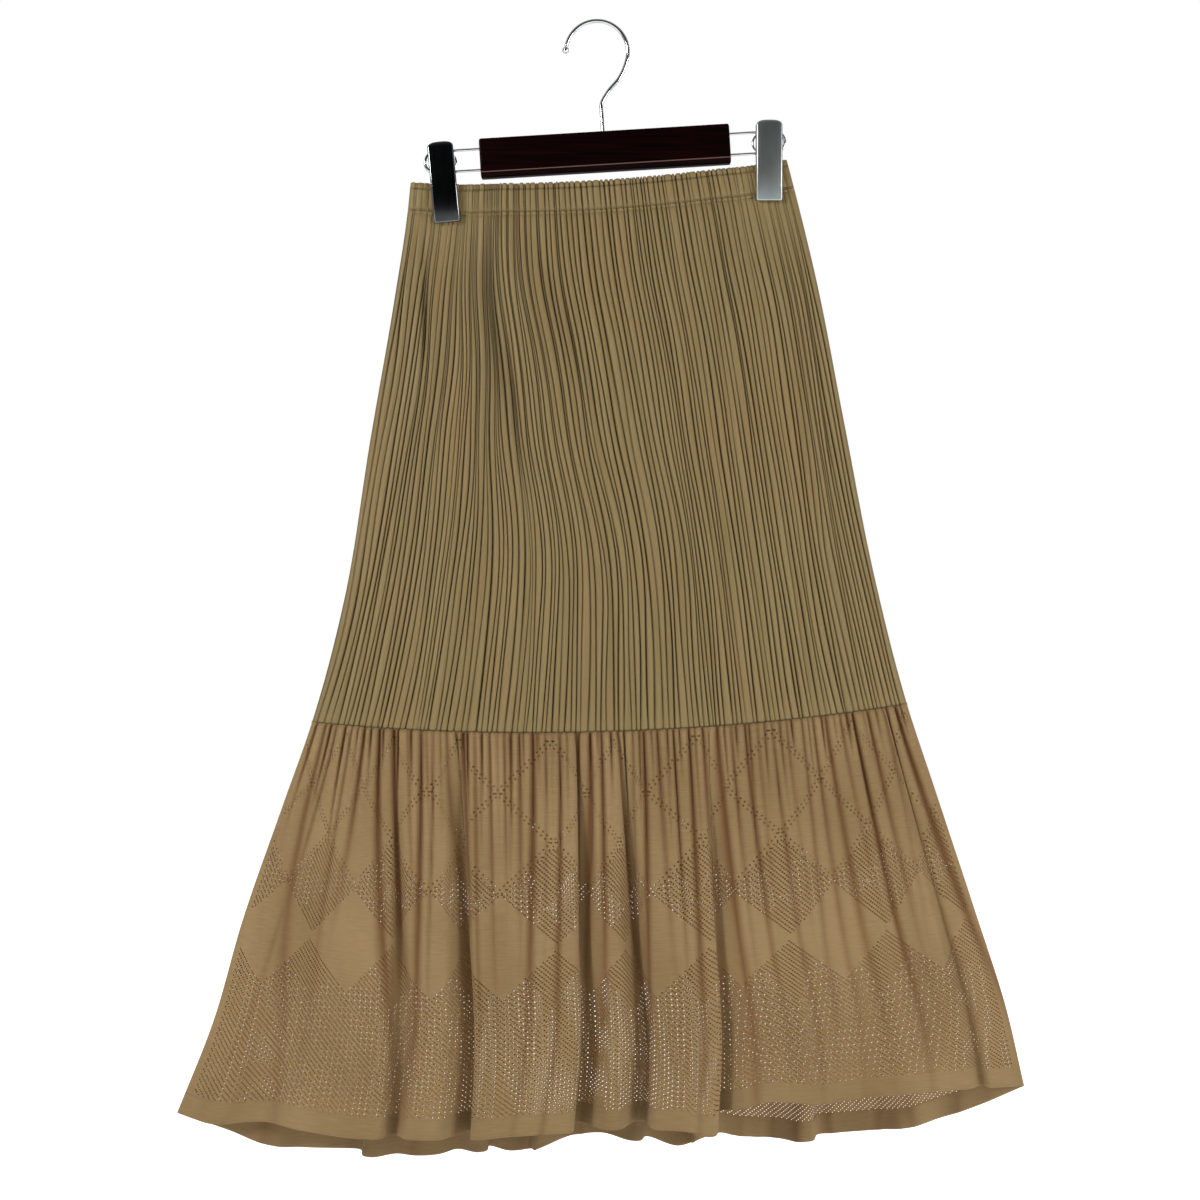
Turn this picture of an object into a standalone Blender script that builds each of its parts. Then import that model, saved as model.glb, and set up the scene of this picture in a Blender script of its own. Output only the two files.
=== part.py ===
"""A long pleated skirt with a gathered flounce, hung from a wooden clip hanger.

The skirt is a flattened tube of six cloth walls: casing, body and flounce, each with a front and a back.
Every wall is a sheet of rows of points, one row for each level down the skirt, moved out and in along its
normal by half of its thickness and closed round the edge.

Sizes are in millimetres until a mesh is made. X runs to the right of the front view, the front faces -Y and
+Z is up. The origin is the top of the inside of the hook, where a rail would hold it.
"""

import math
from collections import namedtuple

import bmesh
import bpy
import numpy as np

MM = 0.001

# Skirt: walls and gaps
SEAM_GAP = 0.3
HALF_GAP = 0.15
CASING_WALL = 2.2
BODY_WALL = 1.4
FLOUNCE_WALL = 1.2

# Skirt: levels measured down the cloth from the waist edge
CASING_FOOT = 25.0
FLOUNCE_SEAM = 478.0
HEM = 826.0

# Pleats of casing and body: each is one ridge and one valley, of uneven width and height
PLEATS = 56
PLEAT_SHIFT = 0.44
LOWEST_PLEAT = 0.6
CASING_PLEAT_DEPTH = 1.3
BODY_PLEAT_DEPTH = 1.7
PRESSED_PLEAT = 0.25

# Gathers under the flounce seam, which die out down the cloth
GATHERS = 30
COLUMNS_PER_GATHER = 4
GATHER_DEPTH = 2.6
GATHER_FADE = 0.42
LOWEST_GATHER = 0.55

# Deep folds: how fast they grow below the seam, how narrow they are there and how near the middle they sink
FOLD_GROWTH = 0.65
FOLD_NARROWING = 0.45
FOLD_CLEARANCE = 1.0

FRONT = -1
BACK = 1

# The skirt's outline as seen from the front. Each section runs from the left side seam to the right one,
# hangs lower in the middle than a straight line by front_drop or back_drop, and stands depth off the
# middle plane at its centre.
Section = namedtuple("Section", "name down left_x left_z right_x right_z front_drop back_drop depth")
SECTIONS = (
    Section("waist edge", 0.0, -164.0, -140.5, 167.0, -120.5, 9.5, 15.0, 6.0),
    Section("casing foot", CASING_FOOT, -166.5, -165.0, 173.5, -145.5, 11.0, 17.0, 7.0),
    Section("high hip", 105.0, -178.5, -245.0, 193.0, -226.0, 12.0, 21.0, 12.0),
    Section("low hip", 228.0, -199.5, -367.0, 217.0, -349.0, 12.5, 26.0, 17.0),
    Section("thigh", 369.0, -222.5, -508.0, 245.0, -491.0, 13.5, 31.0, 21.0),
    Section("flounce seam", FLOUNCE_SEAM, -251.0, -616.0, 273.0, -600.0, 14.5, 35.0, 23.0),
    Section("high flounce", 548.0, -276.0, -687.0, 297.0, -673.0, 16.0, 37.0, 26.0),
    Section("low flounce", 653.0, -312.0, -790.0, 332.0, -779.0, 18.0, 40.0, 30.0),
    Section("over the hem", 742.0, -337.5, -878.0, 359.0, -863.0, 19.0, 43.0, 33.0),
    Section("hem", HEM, -369.5, -959.0, 376.0, -935.5, 20.0, 45.0, 35.0),
)
SEAM_SECTION = SECTIONS[5]
HEM_SECTION = SECTIONS[-1]
DEPTH_FALLOFF = 3.0
HEM_SHAPE_START = 617.0

# How far the hem hangs below the straight line between its ends, from left to right
HemPlace = namedtuple("HemPlace", "x front_drop back_drop")
HEM_PLACES = (
    HemPlace(-369.5, 0.0, 0.0),
    HemPlace(-340.0, 8.0, 14.0),
    HemPlace(-290.0, 8.0, 35.0),
    HemPlace(-205.0, 19.0, 47.0),
    HemPlace(-145.0, 21.0, 55.0),
    HemPlace(-108.0, 22.0, 46.0),
    HemPlace(-77.0, 20.0, 54.0),
    HemPlace(-25.0, 18.0, 42.0),
    HemPlace(40.0, 17.0, 43.0),
    HemPlace(77.0, 20.0, 54.0),
    HemPlace(103.0, 24.0, 42.0),
    HemPlace(122.0, 7.0, 46.0),
    HemPlace(200.0, 2.0, 46.0),
    HemPlace(290.0, -3.0, 35.0),
    HemPlace(340.0, -2.0, 18.0),
    HemPlace(376.0, 0.0, 0.0),
)

# Soft creases and bunches of the body. Each runs from its top to its foot, and out is how far its middle
# stands off the cloth, or sinks in where it is negative.
CREASE_FALLOFF = 12
DEEPEST_CREASE = 0.8
Crease = namedtuple("Crease", "name top_x top_down foot_x foot_down half_width out")
FRONT_CREASES = (
    Crease("bunch outside the left clip", -156.0, -8.0, -170.0, 150.0, 5.0, 4.5),
    Crease("pull under the left clip", -146.0, 42.0, -150.0, 150.0, 4.0, -2.5),
    Crease("left trough", -105.0, 50.0, -76.0, 300.0, 10.0, -3.0),
    Crease("middle trough", -62.0, 50.0, -8.0, 200.0, 9.0, -3.0),
    Crease("right side roll", 178.0, 40.0, 203.0, 330.0, 8.0, 2.5),
)
BACK_CREASES = (
    Crease("bunch outside the right clip", 160.0, -8.0, 182.0, 150.0, 5.0, 4.0),
    Crease("right trough", 95.0, 50.0, 70.0, 280.0, 10.0, -3.0),
    Crease("left trough", -70.0, 50.0, -110.0, 320.0, 11.0, -3.5),
    Crease("bunch outside the left clip", -155.0, -8.0, -168.0, 130.0, 5.0, 3.0),
)

# Deep folds of the flounce. Each is a trough whose floor is sunk by depth at the hem and carried sideways
# by lean, so that the cloth on that side overhangs it.
Trough = namedtuple("Trough", "name seam_x hem_x half_width depth lean")
FRONT_TROUGHS = (
    Trough("left swing", -224.0, -300.0, 26.0, 10.0, 0.0),
    Trough("first valley", -171.0, -175.0, 9.0, 14.0, -4.0),
    Trough("deep slit", -122.0, -123.0, 10.0, 27.0, 13.0),
    Trough("recess left of the tube", -14.0, -6.0, 11.0, 26.0, -12.0),
    Trough("recess right of the tube", 23.0, 34.0, 11.0, 25.0, 3.0),
    Trough("stepped edge", 98.0, 116.0, 9.0, 19.0, -13.0),
    Trough("right swing", 188.0, 225.0, 24.0, 6.0, 0.0),
    Trough("last valley", 252.0, 334.0, 7.0, 10.0, 4.0),
)
BACK_TROUGHS = (
    Trough("left swing", -220.0, -296.0, 22.0, 9.0, 4.0),
    Trough("left fold", -168.0, -196.0, 12.0, 18.0, -8.0),
    Trough("second fold", -108.0, -112.0, 11.0, 24.0, 10.0),
    Trough("middle fold", -45.0, -42.0, 13.0, 22.0, -9.0),
    Trough("wide fold", 16.0, 25.0, 15.0, 24.0, 8.0),
    Trough("narrow fold", 78.0, 98.0, 10.0, 22.0, -9.0),
    Trough("right fold", 150.0, 178.0, 15.0, 18.0, 9.0),
    Trough("right swing", 222.0, 282.0, 20.0, 10.0, -5.0),
)

# Hanger bar: a wooden bar that tilts up to the right
BAR_X = 7.0
BAR_Z = -113.7
BAR_LENGTH = 220.0
BAR_HEIGHT = 34.6
BAR_THICKNESS = 14.0
BAR_EDGE = 3.0
BAR_TILT = math.radians(3.45)
TOUCH_GAP = 0.3

# Hook
HOOK_WIRE = 1.75
HOOK_RADIUS = 27.3
HOOK_CENTRE_Z = HOOK_WIRE - HOOK_RADIUS
HOOK_BALL = 3.1
HOOK_ARC_START = math.radians(-18.0)
HOOK_ARC_END = math.radians(172.0)
HOOK_ARC_STEPS = 16
HOOK_SIDES = 10
NeckPlace = namedtuple("NeckPlace", "name x z")
HOOK_NECK = (
    NeckPlace("foot on the bar", 5.2, -96.1),
    NeckPlace("straight stem", 4.6, -84.0),
    NeckPlace("bend", 4.2, -71.0),
    NeckPlace("after the bend", 9.5, -61.0),
    NeckPlace("slanted neck", 20.0, -48.0),
)

# Wires that the clips slide on
WIRE = 1.25
WIRE_SPREAD = 9.25
WIRE_LEFT_END = -137.0
WIRE_RIGHT_END = 151.2
WIRE_REACH = 15.5
WIRE_ARC_STEPS = 8
WIRE_SIDES = 8

# Clips
CLIP_HALF_WIDTH = 11.5
CLIP_CHAMFER = 1.4
SPRING_WIRE = 0.9
SPRING_HALF_WIDTH = 14.0
SPRING_HALF_HEIGHT = 11.0
SPRING_Y = WIRE + TOUCH_GAP + SPRING_WIRE
SPRING_STEPS = 24
SPRING_SIDES = 6
ClipPlace = namedtuple("ClipPlace", "name top_x top_z foot_x foot_z")
CLIPS = (
    ClipPlace("left", -137.9, -105.5, -131.2, -176.5),
    ClipPlace("right", 151.2, -86.3, 151.2, -157.5),
)
JAW_INNER = HALF_GAP + CASING_WALL + 0.5 + TOUCH_GAP

# Sections of a clip's plate down its length. inner and outer are distances from the middle plane.
PlateSection = namedtuple("PlateSection", "name along half_width inner outer")
FRONT_PLATE = (
    PlateSection("crown", 0.0, 7.5, 3.4, 5.6),
    PlateSection("shoulder", 1.4, 10.0, 2.2, 6.4),
    PlateSection("full width", 4.0, CLIP_HALF_WIDTH, WIRE + TOUCH_GAP, 6.9),
    PlateSection("under the wires", 27.0, CLIP_HALF_WIDTH, WIRE + TOUCH_GAP, 7.2),
    PlateSection("over the cloth", 30.0, CLIP_HALF_WIDTH, JAW_INNER, 7.2),
    PlateSection("foot", 71.2, CLIP_HALF_WIDTH, JAW_INNER, 6.6),
)
BACK_INNER = SPRING_Y + SPRING_WIRE + TOUCH_GAP
BACK_PLATE = (
    PlateSection("crown", -2.0, 7.0, BACK_INNER + 1.5, 7.4),
    PlateSection("shoulder", -0.6, 9.6, BACK_INNER + 0.6, 8.0),
    PlateSection("full width", 2.0, 11.0, BACK_INNER, 8.6),
    PlateSection("under the wires", 32.0, 11.0, BACK_INNER, 8.6),
    PlateSection("over the cloth", 35.5, 11.0, JAW_INNER, 7.4),
    PlateSection("foot", 70.6, 11.0, JAW_INNER, 6.8),
)
PINCH_FLAT = 14.0
PINCH_SPREAD = 48.0
PINCH_FADE = 90.0

# Colours
OLIVE = "8f7c55"
SAND = "9b8159"
DARK_WOOD = "1c0806"
STEEL = "8a908f"
DARK_STEEL = "23272a"
CHROME = "c4c6c8"


def linear_colour(hex_colour):
    """Turns an sRGB hex colour to linear RGBA."""
    channels = [int(hex_colour[place:place + 2], 16) / 255 for place in (0, 2, 4)]
    return [c / 12.92 if c <= 0.04045 else ((c + 0.055) / 1.055) ** 2.4 for c in channels] + [1.0]


def make_material(name, hex_colour, roughness, metallic=0.0):
    material = bpy.data.materials.new(name)
    material.use_nodes = True
    shader = material.node_tree.nodes["Principled BSDF"]
    shader.inputs["Base Color"].default_value = linear_colour(hex_colour)
    shader.inputs["Roughness"].default_value = roughness
    shader.inputs["Metallic"].default_value = metallic
    return material


def smooth_through(at, places, values):
    """A cubic curve through a table's rows, whose slope at each row comes from its neighbours."""
    at, places, values = (np.asarray(column, float) for column in (at, places, values))
    slopes = np.gradient(values, places)
    row = np.clip(np.searchsorted(places, at, side="right") - 1, 0, len(places) - 2)
    width = places[row + 1] - places[row]
    t = (at - places[row]) / width
    near = (1 + 2 * t) * (1 - t) ** 2 * values[row] + t * (1 - t) ** 2 * width * slopes[row]
    far = t ** 2 * (3 - 2 * t) * values[row + 1] + t ** 2 * (t - 1) * width * slopes[row + 1]
    return near + far


def ease(at, start, end):
    """Rises smoothly from 0 at start to 1 at end."""
    t = np.clip((at - start) / (end - start), 0, 1)
    return t * t * (3 - 2 * t)


def section_value(column, down):
    return smooth_through(down, [s.down for s in SECTIONS], [getattr(s, column) for s in SECTIONS])


def across_at(x, down):
    """Where x lies between the side seams: -1 at the left one and 1 at the right one."""
    left, right = section_value("left_x", down), section_value("right_x", down)
    return np.clip(2 * (x - left) / (right - left) - 1, -1, 1)


def height_at(x, down, side):
    """The level line through this place: straight between the side seams, plus the drop in the middle."""
    across = across_at(x, down)
    left, right = section_value("left_z", down), section_value("right_z", down)
    straight = left + (right - left) * (across + 1) / 2
    drop = section_value("front_drop" if side == FRONT else "back_drop", down) * (1 - across ** 2)
    places = [place.x for place in HEM_PLACES]
    drops = [place.front_drop if side == FRONT else place.back_drop for place in HEM_PLACES]
    hem_x = HEM_SECTION.left_x + (HEM_SECTION.right_x - HEM_SECTION.left_x) * (across + 1) / 2
    toward_hem = ease(down, HEM_SHAPE_START, HEM)
    return straight - drop * (1 - toward_hem) - smooth_through(hem_x, places, drops) * toward_hem


def pinched(x, z):
    """1 where a clip presses the cloth flat, fading to 0 beside and below it."""
    share = np.zeros(np.broadcast(x, z).shape)
    for clip in CLIPS:
        lean = (clip.foot_x - clip.top_x) / (clip.foot_z - clip.top_z)
        centre = clip.top_x + lean * (np.maximum(z, clip.foot_z) - clip.top_z)
        beside = 1 - ease(np.abs(x - centre), PINCH_FLAT, PINCH_SPREAD)
        below = 1 - ease(clip.foot_z - z, 0, PINCH_FADE)
        share = np.maximum(share, beside * below)
    return share


def depth_at(x, z, down):
    """How far the plain cloth stands off the middle plane, before its wall."""
    open_depth = section_value("depth", down) * (1 - np.abs(across_at(x, down)) ** DEPTH_FALLOFF)
    return open_depth * (1 - pinched(x, z))


def crease_relief(x, down, side):
    """The sum of soft ridges and troughs across lines from their tops to their feet."""
    relief = np.zeros(np.broadcast(x, down).shape)
    for crease in FRONT_CREASES if side == FRONT else BACK_CREASES:
        t = (down - crease.top_down) / (crease.foot_down - crease.top_down)
        centre = crease.top_x + (crease.foot_x - crease.top_x) * t
        length = np.sin(math.pi * np.clip(t, 0, 1)) ** 0.5
        relief += crease.out * length * np.exp(-((x - centre) / crease.half_width) ** 2)
    return relief


def pleat_lines(side):
    """Columns from side seam to side seam, by turns a valley and a ridge, with uneven spacing."""
    random = np.random.default_rng(11 if side == FRONT else 23)
    places = np.linspace(-1, 1, 2 * PLEATS + 1)
    shift = random.uniform(-1, 1, len(places)) * PLEAT_SHIFT / PLEATS
    shift[[0, -1]] = 0
    height = random.uniform(LOWEST_PLEAT, 1.0, len(places)) * (np.arange(len(places)) % 2)
    return places + shift, height


def pleated_sheet(side, top, foot, levels, pleat_depth):
    """Points and relief of a pleated panel between two levels."""
    across, ridge = pleat_lines(side)
    down = np.linspace(top, foot, levels)[:, None]
    left, right = section_value("left_x", down), section_value("right_x", down)
    x = left + (right - left) * (across[None, :] + 1) / 2
    z = height_at(x, down, side)
    out = depth_at(x, z, down)
    pressed = pinched(x, z)
    inside_seams = 1 - np.abs(across_at(x, down)) ** CREASE_FALLOFF
    creases = np.maximum(crease_relief(x, down, side), -DEEPEST_CREASE * out) * (1 - pressed) * inside_seams
    relief = creases + pleat_depth * ridge[None, :] * (1 - (1 - PRESSED_PLEAT) * pressed)
    return np.stack([x, side * out, z], axis=-1), relief


def flounce_row(seam_x, down, side):
    """One level of the flounce: x and distance off the middle plane, for places along the seam."""
    troughs = FRONT_TROUGHS if side == FRONT else BACK_TROUGHS
    seam_ends = SEAM_SECTION.left_x, SEAM_SECTION.right_x
    hem_ends = HEM_SECTION.left_x, HEM_SECTION.right_x
    seam_places = [seam_ends[0]] + [trough.seam_x for trough in troughs] + [seam_ends[1]]
    hem_places = [hem_ends[0]] + [trough.hem_x for trough in troughs] + [hem_ends[1]]
    hem_x = smooth_through(seam_x, seam_places, hem_places)
    left, right = section_value("left_x", down), section_value("right_x", down)
    widened = ((right - left) - (seam_ends[1] - seam_ends[0])) / (
        (hem_ends[1] - hem_ends[0]) - (seam_ends[1] - seam_ends[0]))
    mixed = seam_x * (1 - widened) + hem_x * widened
    mixed_left = seam_ends[0] * (1 - widened) + hem_ends[0] * widened
    mixed_right = seam_ends[1] * (1 - widened) + hem_ends[1] * widened
    plain_x = left + (right - left) * (mixed - mixed_left) / (mixed_right - mixed_left)
    out = section_value("depth", down) * (1 - np.abs(across_at(plain_x, down)) ** DEPTH_FALLOFF)
    grown = np.clip((down - FLOUNCE_SEAM) / (HEM - FLOUNCE_SEAM), 0, 1) ** FOLD_GROWTH
    x = plain_x.copy()
    for trough in troughs:
        centre = trough.seam_x * (1 - widened) + trough.hem_x * widened
        reach = trough.half_width * (FOLD_NARROWING + (1 - FOLD_NARROWING) * widened)
        shape = np.exp(-np.abs((mixed - centre) / reach) ** 3)
        out = out - np.minimum(trough.depth * grown * shape, np.maximum(out - FOLD_CLEARANCE, 0))
        x = x + trough.lean * grown * shape
    return x, plain_x, out


def flounce_columns(side):
    """Places along the seam that are evenly spaced in the cloth at the hem."""
    seam_x = np.linspace(SEAM_SECTION.left_x, SEAM_SECTION.right_x, 3001)
    x, _, out = flounce_row(seam_x, np.full(seam_x.shape, HEM), side)
    length = np.concatenate([[0], np.cumsum(np.hypot(np.diff(x), np.diff(out)))])
    columns = GATHERS * COLUMNS_PER_GATHER + 1
    return np.interp(np.linspace(0, length[-1], columns), length, seam_x)


def flounce_sheet(side, levels):
    """Points and relief of a gathered panel, from the seam to the hem."""
    seam_x = flounce_columns(side)
    random = np.random.default_rng(5 if side == FRONT else 8)
    wave = np.arange(len(seam_x)) / COLUMNS_PER_GATHER
    height = random.uniform(LOWEST_GATHER, 1.0, GATHERS + 1)[np.floor(wave).astype(int)]
    rows, reliefs = [], []
    for down in levels:
        level = np.full(seam_x.shape, down)
        x, plain_x, out = flounce_row(seam_x, level, side)
        z = height_at(plain_x, level, side)
        rows.append(np.stack([x, side * out, z], axis=-1))
        fall = (down - FLOUNCE_SEAM) / (HEM - FLOUNCE_SEAM)
        reliefs.append(GATHER_DEPTH * math.exp(-fall / GATHER_FADE) * height * (
            0.5 - 0.5 * np.cos(2 * math.pi * wave)))
    return np.array(rows), np.array(reliefs)


def outward_directions(points, side):
    """Level directions square to each row, pointing away from the inside of the skirt."""
    step = np.gradient(points, axis=1)
    direction = np.stack([step[..., 1], -step[..., 0], np.zeros(step.shape[:2])], axis=-1)
    direction /= np.linalg.norm(direction, axis=-1, keepdims=True)
    return direction if side == FRONT else -direction


def make_object(name, vertices, faces, material, smooth_angle):
    """A closed mesh object, with its faces turned outwards, from points in millimetres."""
    mesh = bpy.data.meshes.new(name)
    mesh.from_pydata((np.asarray(vertices) * MM).tolist(), [], faces)
    shape = bmesh.new()
    shape.from_mesh(mesh)
    bmesh.ops.recalc_face_normals(shape, faces=shape.faces)
    shape.to_mesh(mesh)
    shape.free()
    mesh.shade_smooth()
    mesh.set_sharp_from_angle(angle=math.radians(smooth_angle))
    mesh.materials.append(material)
    made = bpy.data.objects.new(name, mesh)
    bpy.context.scene.collection.objects.link(made)
    return made


def make_wall(name, side, points, relief, wall, material):
    """Closes a sheet into a wall: an outer skin, an inner skin and the strip round its edge."""
    direction = outward_directions(points, side)
    base = points + np.array([0, side * (HALF_GAP + wall / 2), 0])
    outer = base + direction * (relief + wall / 2)[..., None]
    inner = base + direction * (relief - wall / 2)[..., None]
    rows, columns = relief.shape
    index = np.arange(rows * columns).reshape(rows, columns)
    quads = np.stack([index[:-1, :-1], index[:-1, 1:], index[1:, 1:], index[1:, :-1]], axis=-1)
    quads = quads.reshape(-1, 4)
    edge = np.concatenate([index[0], index[1:, -1], index[-1, -2::-1], index[-2:0:-1, 0]])
    after = np.roll(edge, -1)
    count = rows * columns
    strip = np.stack([edge, after, after + count, edge + count], axis=-1)
    faces = np.concatenate([quads, quads[:, ::-1] + count, strip])
    vertices = np.concatenate([outer.reshape(-1, 3), inner.reshape(-1, 3)])
    return make_object(name, vertices, faces.tolist(), material, 30)


def make_loft(name, rings, material, closed=False, smooth_angle=40):
    """Joins rings of equal point count along a path, capped at both ends unless the path is closed."""
    rings = np.asarray(rings)
    count, size = rings.shape[:2]
    faces = []
    for ring in range(count if closed else count - 1):
        for place in range(size):
            near, far = ring * size, (ring + 1) % count * size
            after = (place + 1) % size
            faces.append((near + place, near + after, far + after, far + place))
    if not closed:
        faces += [tuple(range(size)), tuple(range((count - 1) * size, count * size))]
    return make_object(name, rings.reshape(-1, 3), faces, material, smooth_angle)


def tube_rings(path, radii, sides, closed=False):
    """Round rings square to a path that lies in a plane of constant y."""
    path = np.asarray(path, float)
    if closed:
        along = np.roll(path, -1, axis=0) - np.roll(path, 1, axis=0)
    else:
        along = np.gradient(path, axis=0)
    along /= np.linalg.norm(along, axis=1, keepdims=True)
    across = np.cross(along, [0, 1, 0])
    angle = np.linspace(0, 2 * math.pi, sides, endpoint=False)[None, :, None]
    ring = np.cos(angle) * across[:, None, :] + np.sin(angle) * np.array([0, 1, 0])
    return path[:, None, :] + ring * np.asarray(radii, float)[:, None, None]


def bar_point(along, over, y=0.0):
    """A point given by its distance along the bar from its centre and over its centre line."""
    return (
        BAR_X + along * math.cos(BAR_TILT) - over * math.sin(BAR_TILT),
        y,
        BAR_Z + along * math.sin(BAR_TILT) + over * math.cos(BAR_TILT),
    )


def make_bar(material):
    mesh = bpy.data.meshes.new("hanger_bar")
    shape = bmesh.new()
    bmesh.ops.create_cube(shape, size=1)
    for vertex in shape.verts:
        vertex.co.x *= BAR_LENGTH * MM
        vertex.co.y *= BAR_THICKNESS * MM
        vertex.co.z *= BAR_HEIGHT * MM
    shape.to_mesh(mesh)
    shape.free()
    mesh.shade_smooth()
    mesh.materials.append(material)
    bar = bpy.data.objects.new("hanger_bar", mesh)
    bar.location = (BAR_X * MM, 0, BAR_Z * MM)
    bar.rotation_euler = (0, -BAR_TILT, 0)
    rounding = bar.modifiers.new("rounded edges", "BEVEL")
    rounding.width = BAR_EDGE * MM
    rounding.segments = 3
    bpy.context.scene.collection.objects.link(bar)
    return bar


def make_hook(material):
    """The neck rises from the bar, slants to the right and runs into the arc, which ends in a ball."""
    angle = np.linspace(HOOK_ARC_START, HOOK_ARC_END, HOOK_ARC_STEPS)
    arc = np.stack([HOOK_RADIUS * np.cos(angle), 0 * angle, HOOK_CENTRE_Z + HOOK_RADIUS * np.sin(angle)], axis=1)
    neck = np.array([(place.x, 0, place.z) for place in HOOK_NECK])
    last_step = arc[-1] - arc[-2]
    last_step /= np.linalg.norm(last_step)
    ball_angle = np.linspace(-0.36 * math.pi, 0.36 * math.pi, 5)
    ball_centre = arc[-1] + last_step * HOOK_BALL * 0.8
    ball = ball_centre + last_step * (HOOK_BALL * np.sin(ball_angle))[:, None]
    path = np.concatenate([neck, arc[:-1], ball])
    radii = np.concatenate([np.full(len(neck) + len(arc) - 1, HOOK_WIRE), HOOK_BALL * np.cos(ball_angle)])
    return make_loft("hanger_hook", tube_rings(path, radii, HOOK_SIDES), material)


def make_wire(name, bar_end, clip_x, material):
    """A U of wire: out along the bar's line, round beyond the clip and back to the bar."""
    direction = math.copysign(1, bar_end)
    start = bar_end + direction * TOUCH_GAP
    turn = (clip_x - BAR_X) / math.cos(BAR_TILT) + direction * (WIRE_REACH - WIRE_SPREAD - WIRE)
    angle = np.linspace(math.pi / 2, -math.pi / 2, WIRE_ARC_STEPS)
    places = [(start, WIRE_SPREAD), (0.5 * (start + turn), WIRE_SPREAD)]
    places += [(turn + direction * WIRE_SPREAD * math.cos(a), WIRE_SPREAD * math.sin(a)) for a in angle]
    places += [(0.5 * (start + turn), -WIRE_SPREAD), (start, -WIRE_SPREAD)]
    path = [bar_point(along, over) for along, over in places]
    return make_loft(name, tube_rings(path, np.full(len(path), WIRE), WIRE_SIDES), material)


def make_plate(name, clip, side, sections, material):
    """A clip's plate: six-sided sections from its crown down to its foot, chamfered on the outer side."""
    top = np.array([clip.top_x, 0, clip.top_z])
    foot = np.array([clip.foot_x, 0, clip.foot_z])
    along = (foot - top) / np.linalg.norm(foot - top)
    across = np.array([-along[2], 0, along[0]])
    rings = []
    for section in sections:
        width, inner, outer = section.half_width, section.inner, section.outer
        corners = (
            (-width, inner),
            (-width, outer - CLIP_CHAMFER),
            (-width + CLIP_CHAMFER, outer),
            (width - CLIP_CHAMFER, outer),
            (width, outer - CLIP_CHAMFER),
            (width, inner),
        )
        centre = top + along * section.along
        rings.append([centre + across * w + np.array([0, side * y, 0]) for w, y in corners])
    return make_loft(name, rings, material, smooth_angle=25)


def make_spring(name, clip, material):
    """An oval loop of wire behind the wires, which shows past both sides of the clip."""
    along_bar = (clip.top_x - BAR_X) / math.cos(BAR_TILT)
    angle = np.linspace(0, 2 * math.pi, SPRING_STEPS, endpoint=False)
    path = [
        bar_point(along_bar + SPRING_HALF_WIDTH * math.cos(a), SPRING_HALF_HEIGHT * math.sin(a), SPRING_Y)
        for a in angle
    ]
    rings = tube_rings(path, np.full(SPRING_STEPS, SPRING_WIRE), SPRING_SIDES, closed=True)
    return make_loft(name, rings, material, closed=True)


def main():
    for old in list(bpy.data.objects):
        bpy.data.objects.remove(old, do_unlink=True)

    olive_cloth = make_material("olive pleated polyester", OLIVE, 0.7)
    sand_cloth = make_material("sand perforated voile", SAND, 0.8)
    dark_wood = make_material("dark stained wood", DARK_WOOD, 0.35)
    steel = make_material("brushed steel", STEEL, 0.35, 1.0)
    dark_steel = make_material("dark steel", DARK_STEEL, 0.4, 1.0)
    chrome = make_material("chromed wire", CHROME, 0.12, 1.0)

    flounce_levels = FLOUNCE_SEAM + SEAM_GAP + np.array([0.0, 14.0, 50.0, 120.0, 220.0, HEM - FLOUNCE_SEAM])
    for side, word in ((FRONT, "front"), (BACK, "back")):
        points, relief = pleated_sheet(side, 0, CASING_FOOT, 3, CASING_PLEAT_DEPTH)
        make_wall("waist_casing_" + word, side, points, relief, CASING_WALL, olive_cloth)
        points, relief = pleated_sheet(side, CASING_FOOT + SEAM_GAP, FLOUNCE_SEAM, 7, BODY_PLEAT_DEPTH)
        make_wall("body_" + word, side, points, relief, BODY_WALL, olive_cloth)
        points, relief = flounce_sheet(side, flounce_levels)
        make_wall("flounce_" + word, side, points, relief, FLOUNCE_WALL, sand_cloth)

    make_bar(dark_wood)
    make_hook(chrome)
    make_wire("hanger_wire_left", -BAR_LENGTH / 2, WIRE_LEFT_END, chrome)
    make_wire("hanger_wire_right", BAR_LENGTH / 2, WIRE_RIGHT_END, chrome)
    for clip in CLIPS:
        make_plate("clip_" + clip.name + "_front", clip, FRONT, FRONT_PLATE, steel)
        make_plate("clip_" + clip.name + "_back", clip, BACK, BACK_PLATE, dark_steel)
        make_spring("clip_" + clip.name + "_spring", clip, chrome)


main()
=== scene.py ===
"""Looks of a long pleated skirt with a gathered, perforated flounce, hung from a wooden clip hanger.

Sizes are in millimetres until a mesh is made. X runs to the right of the front view, the front faces -Y and
+Z is up. The origin is the top of the inside of the hook.
"""

import math
from collections import namedtuple

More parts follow.
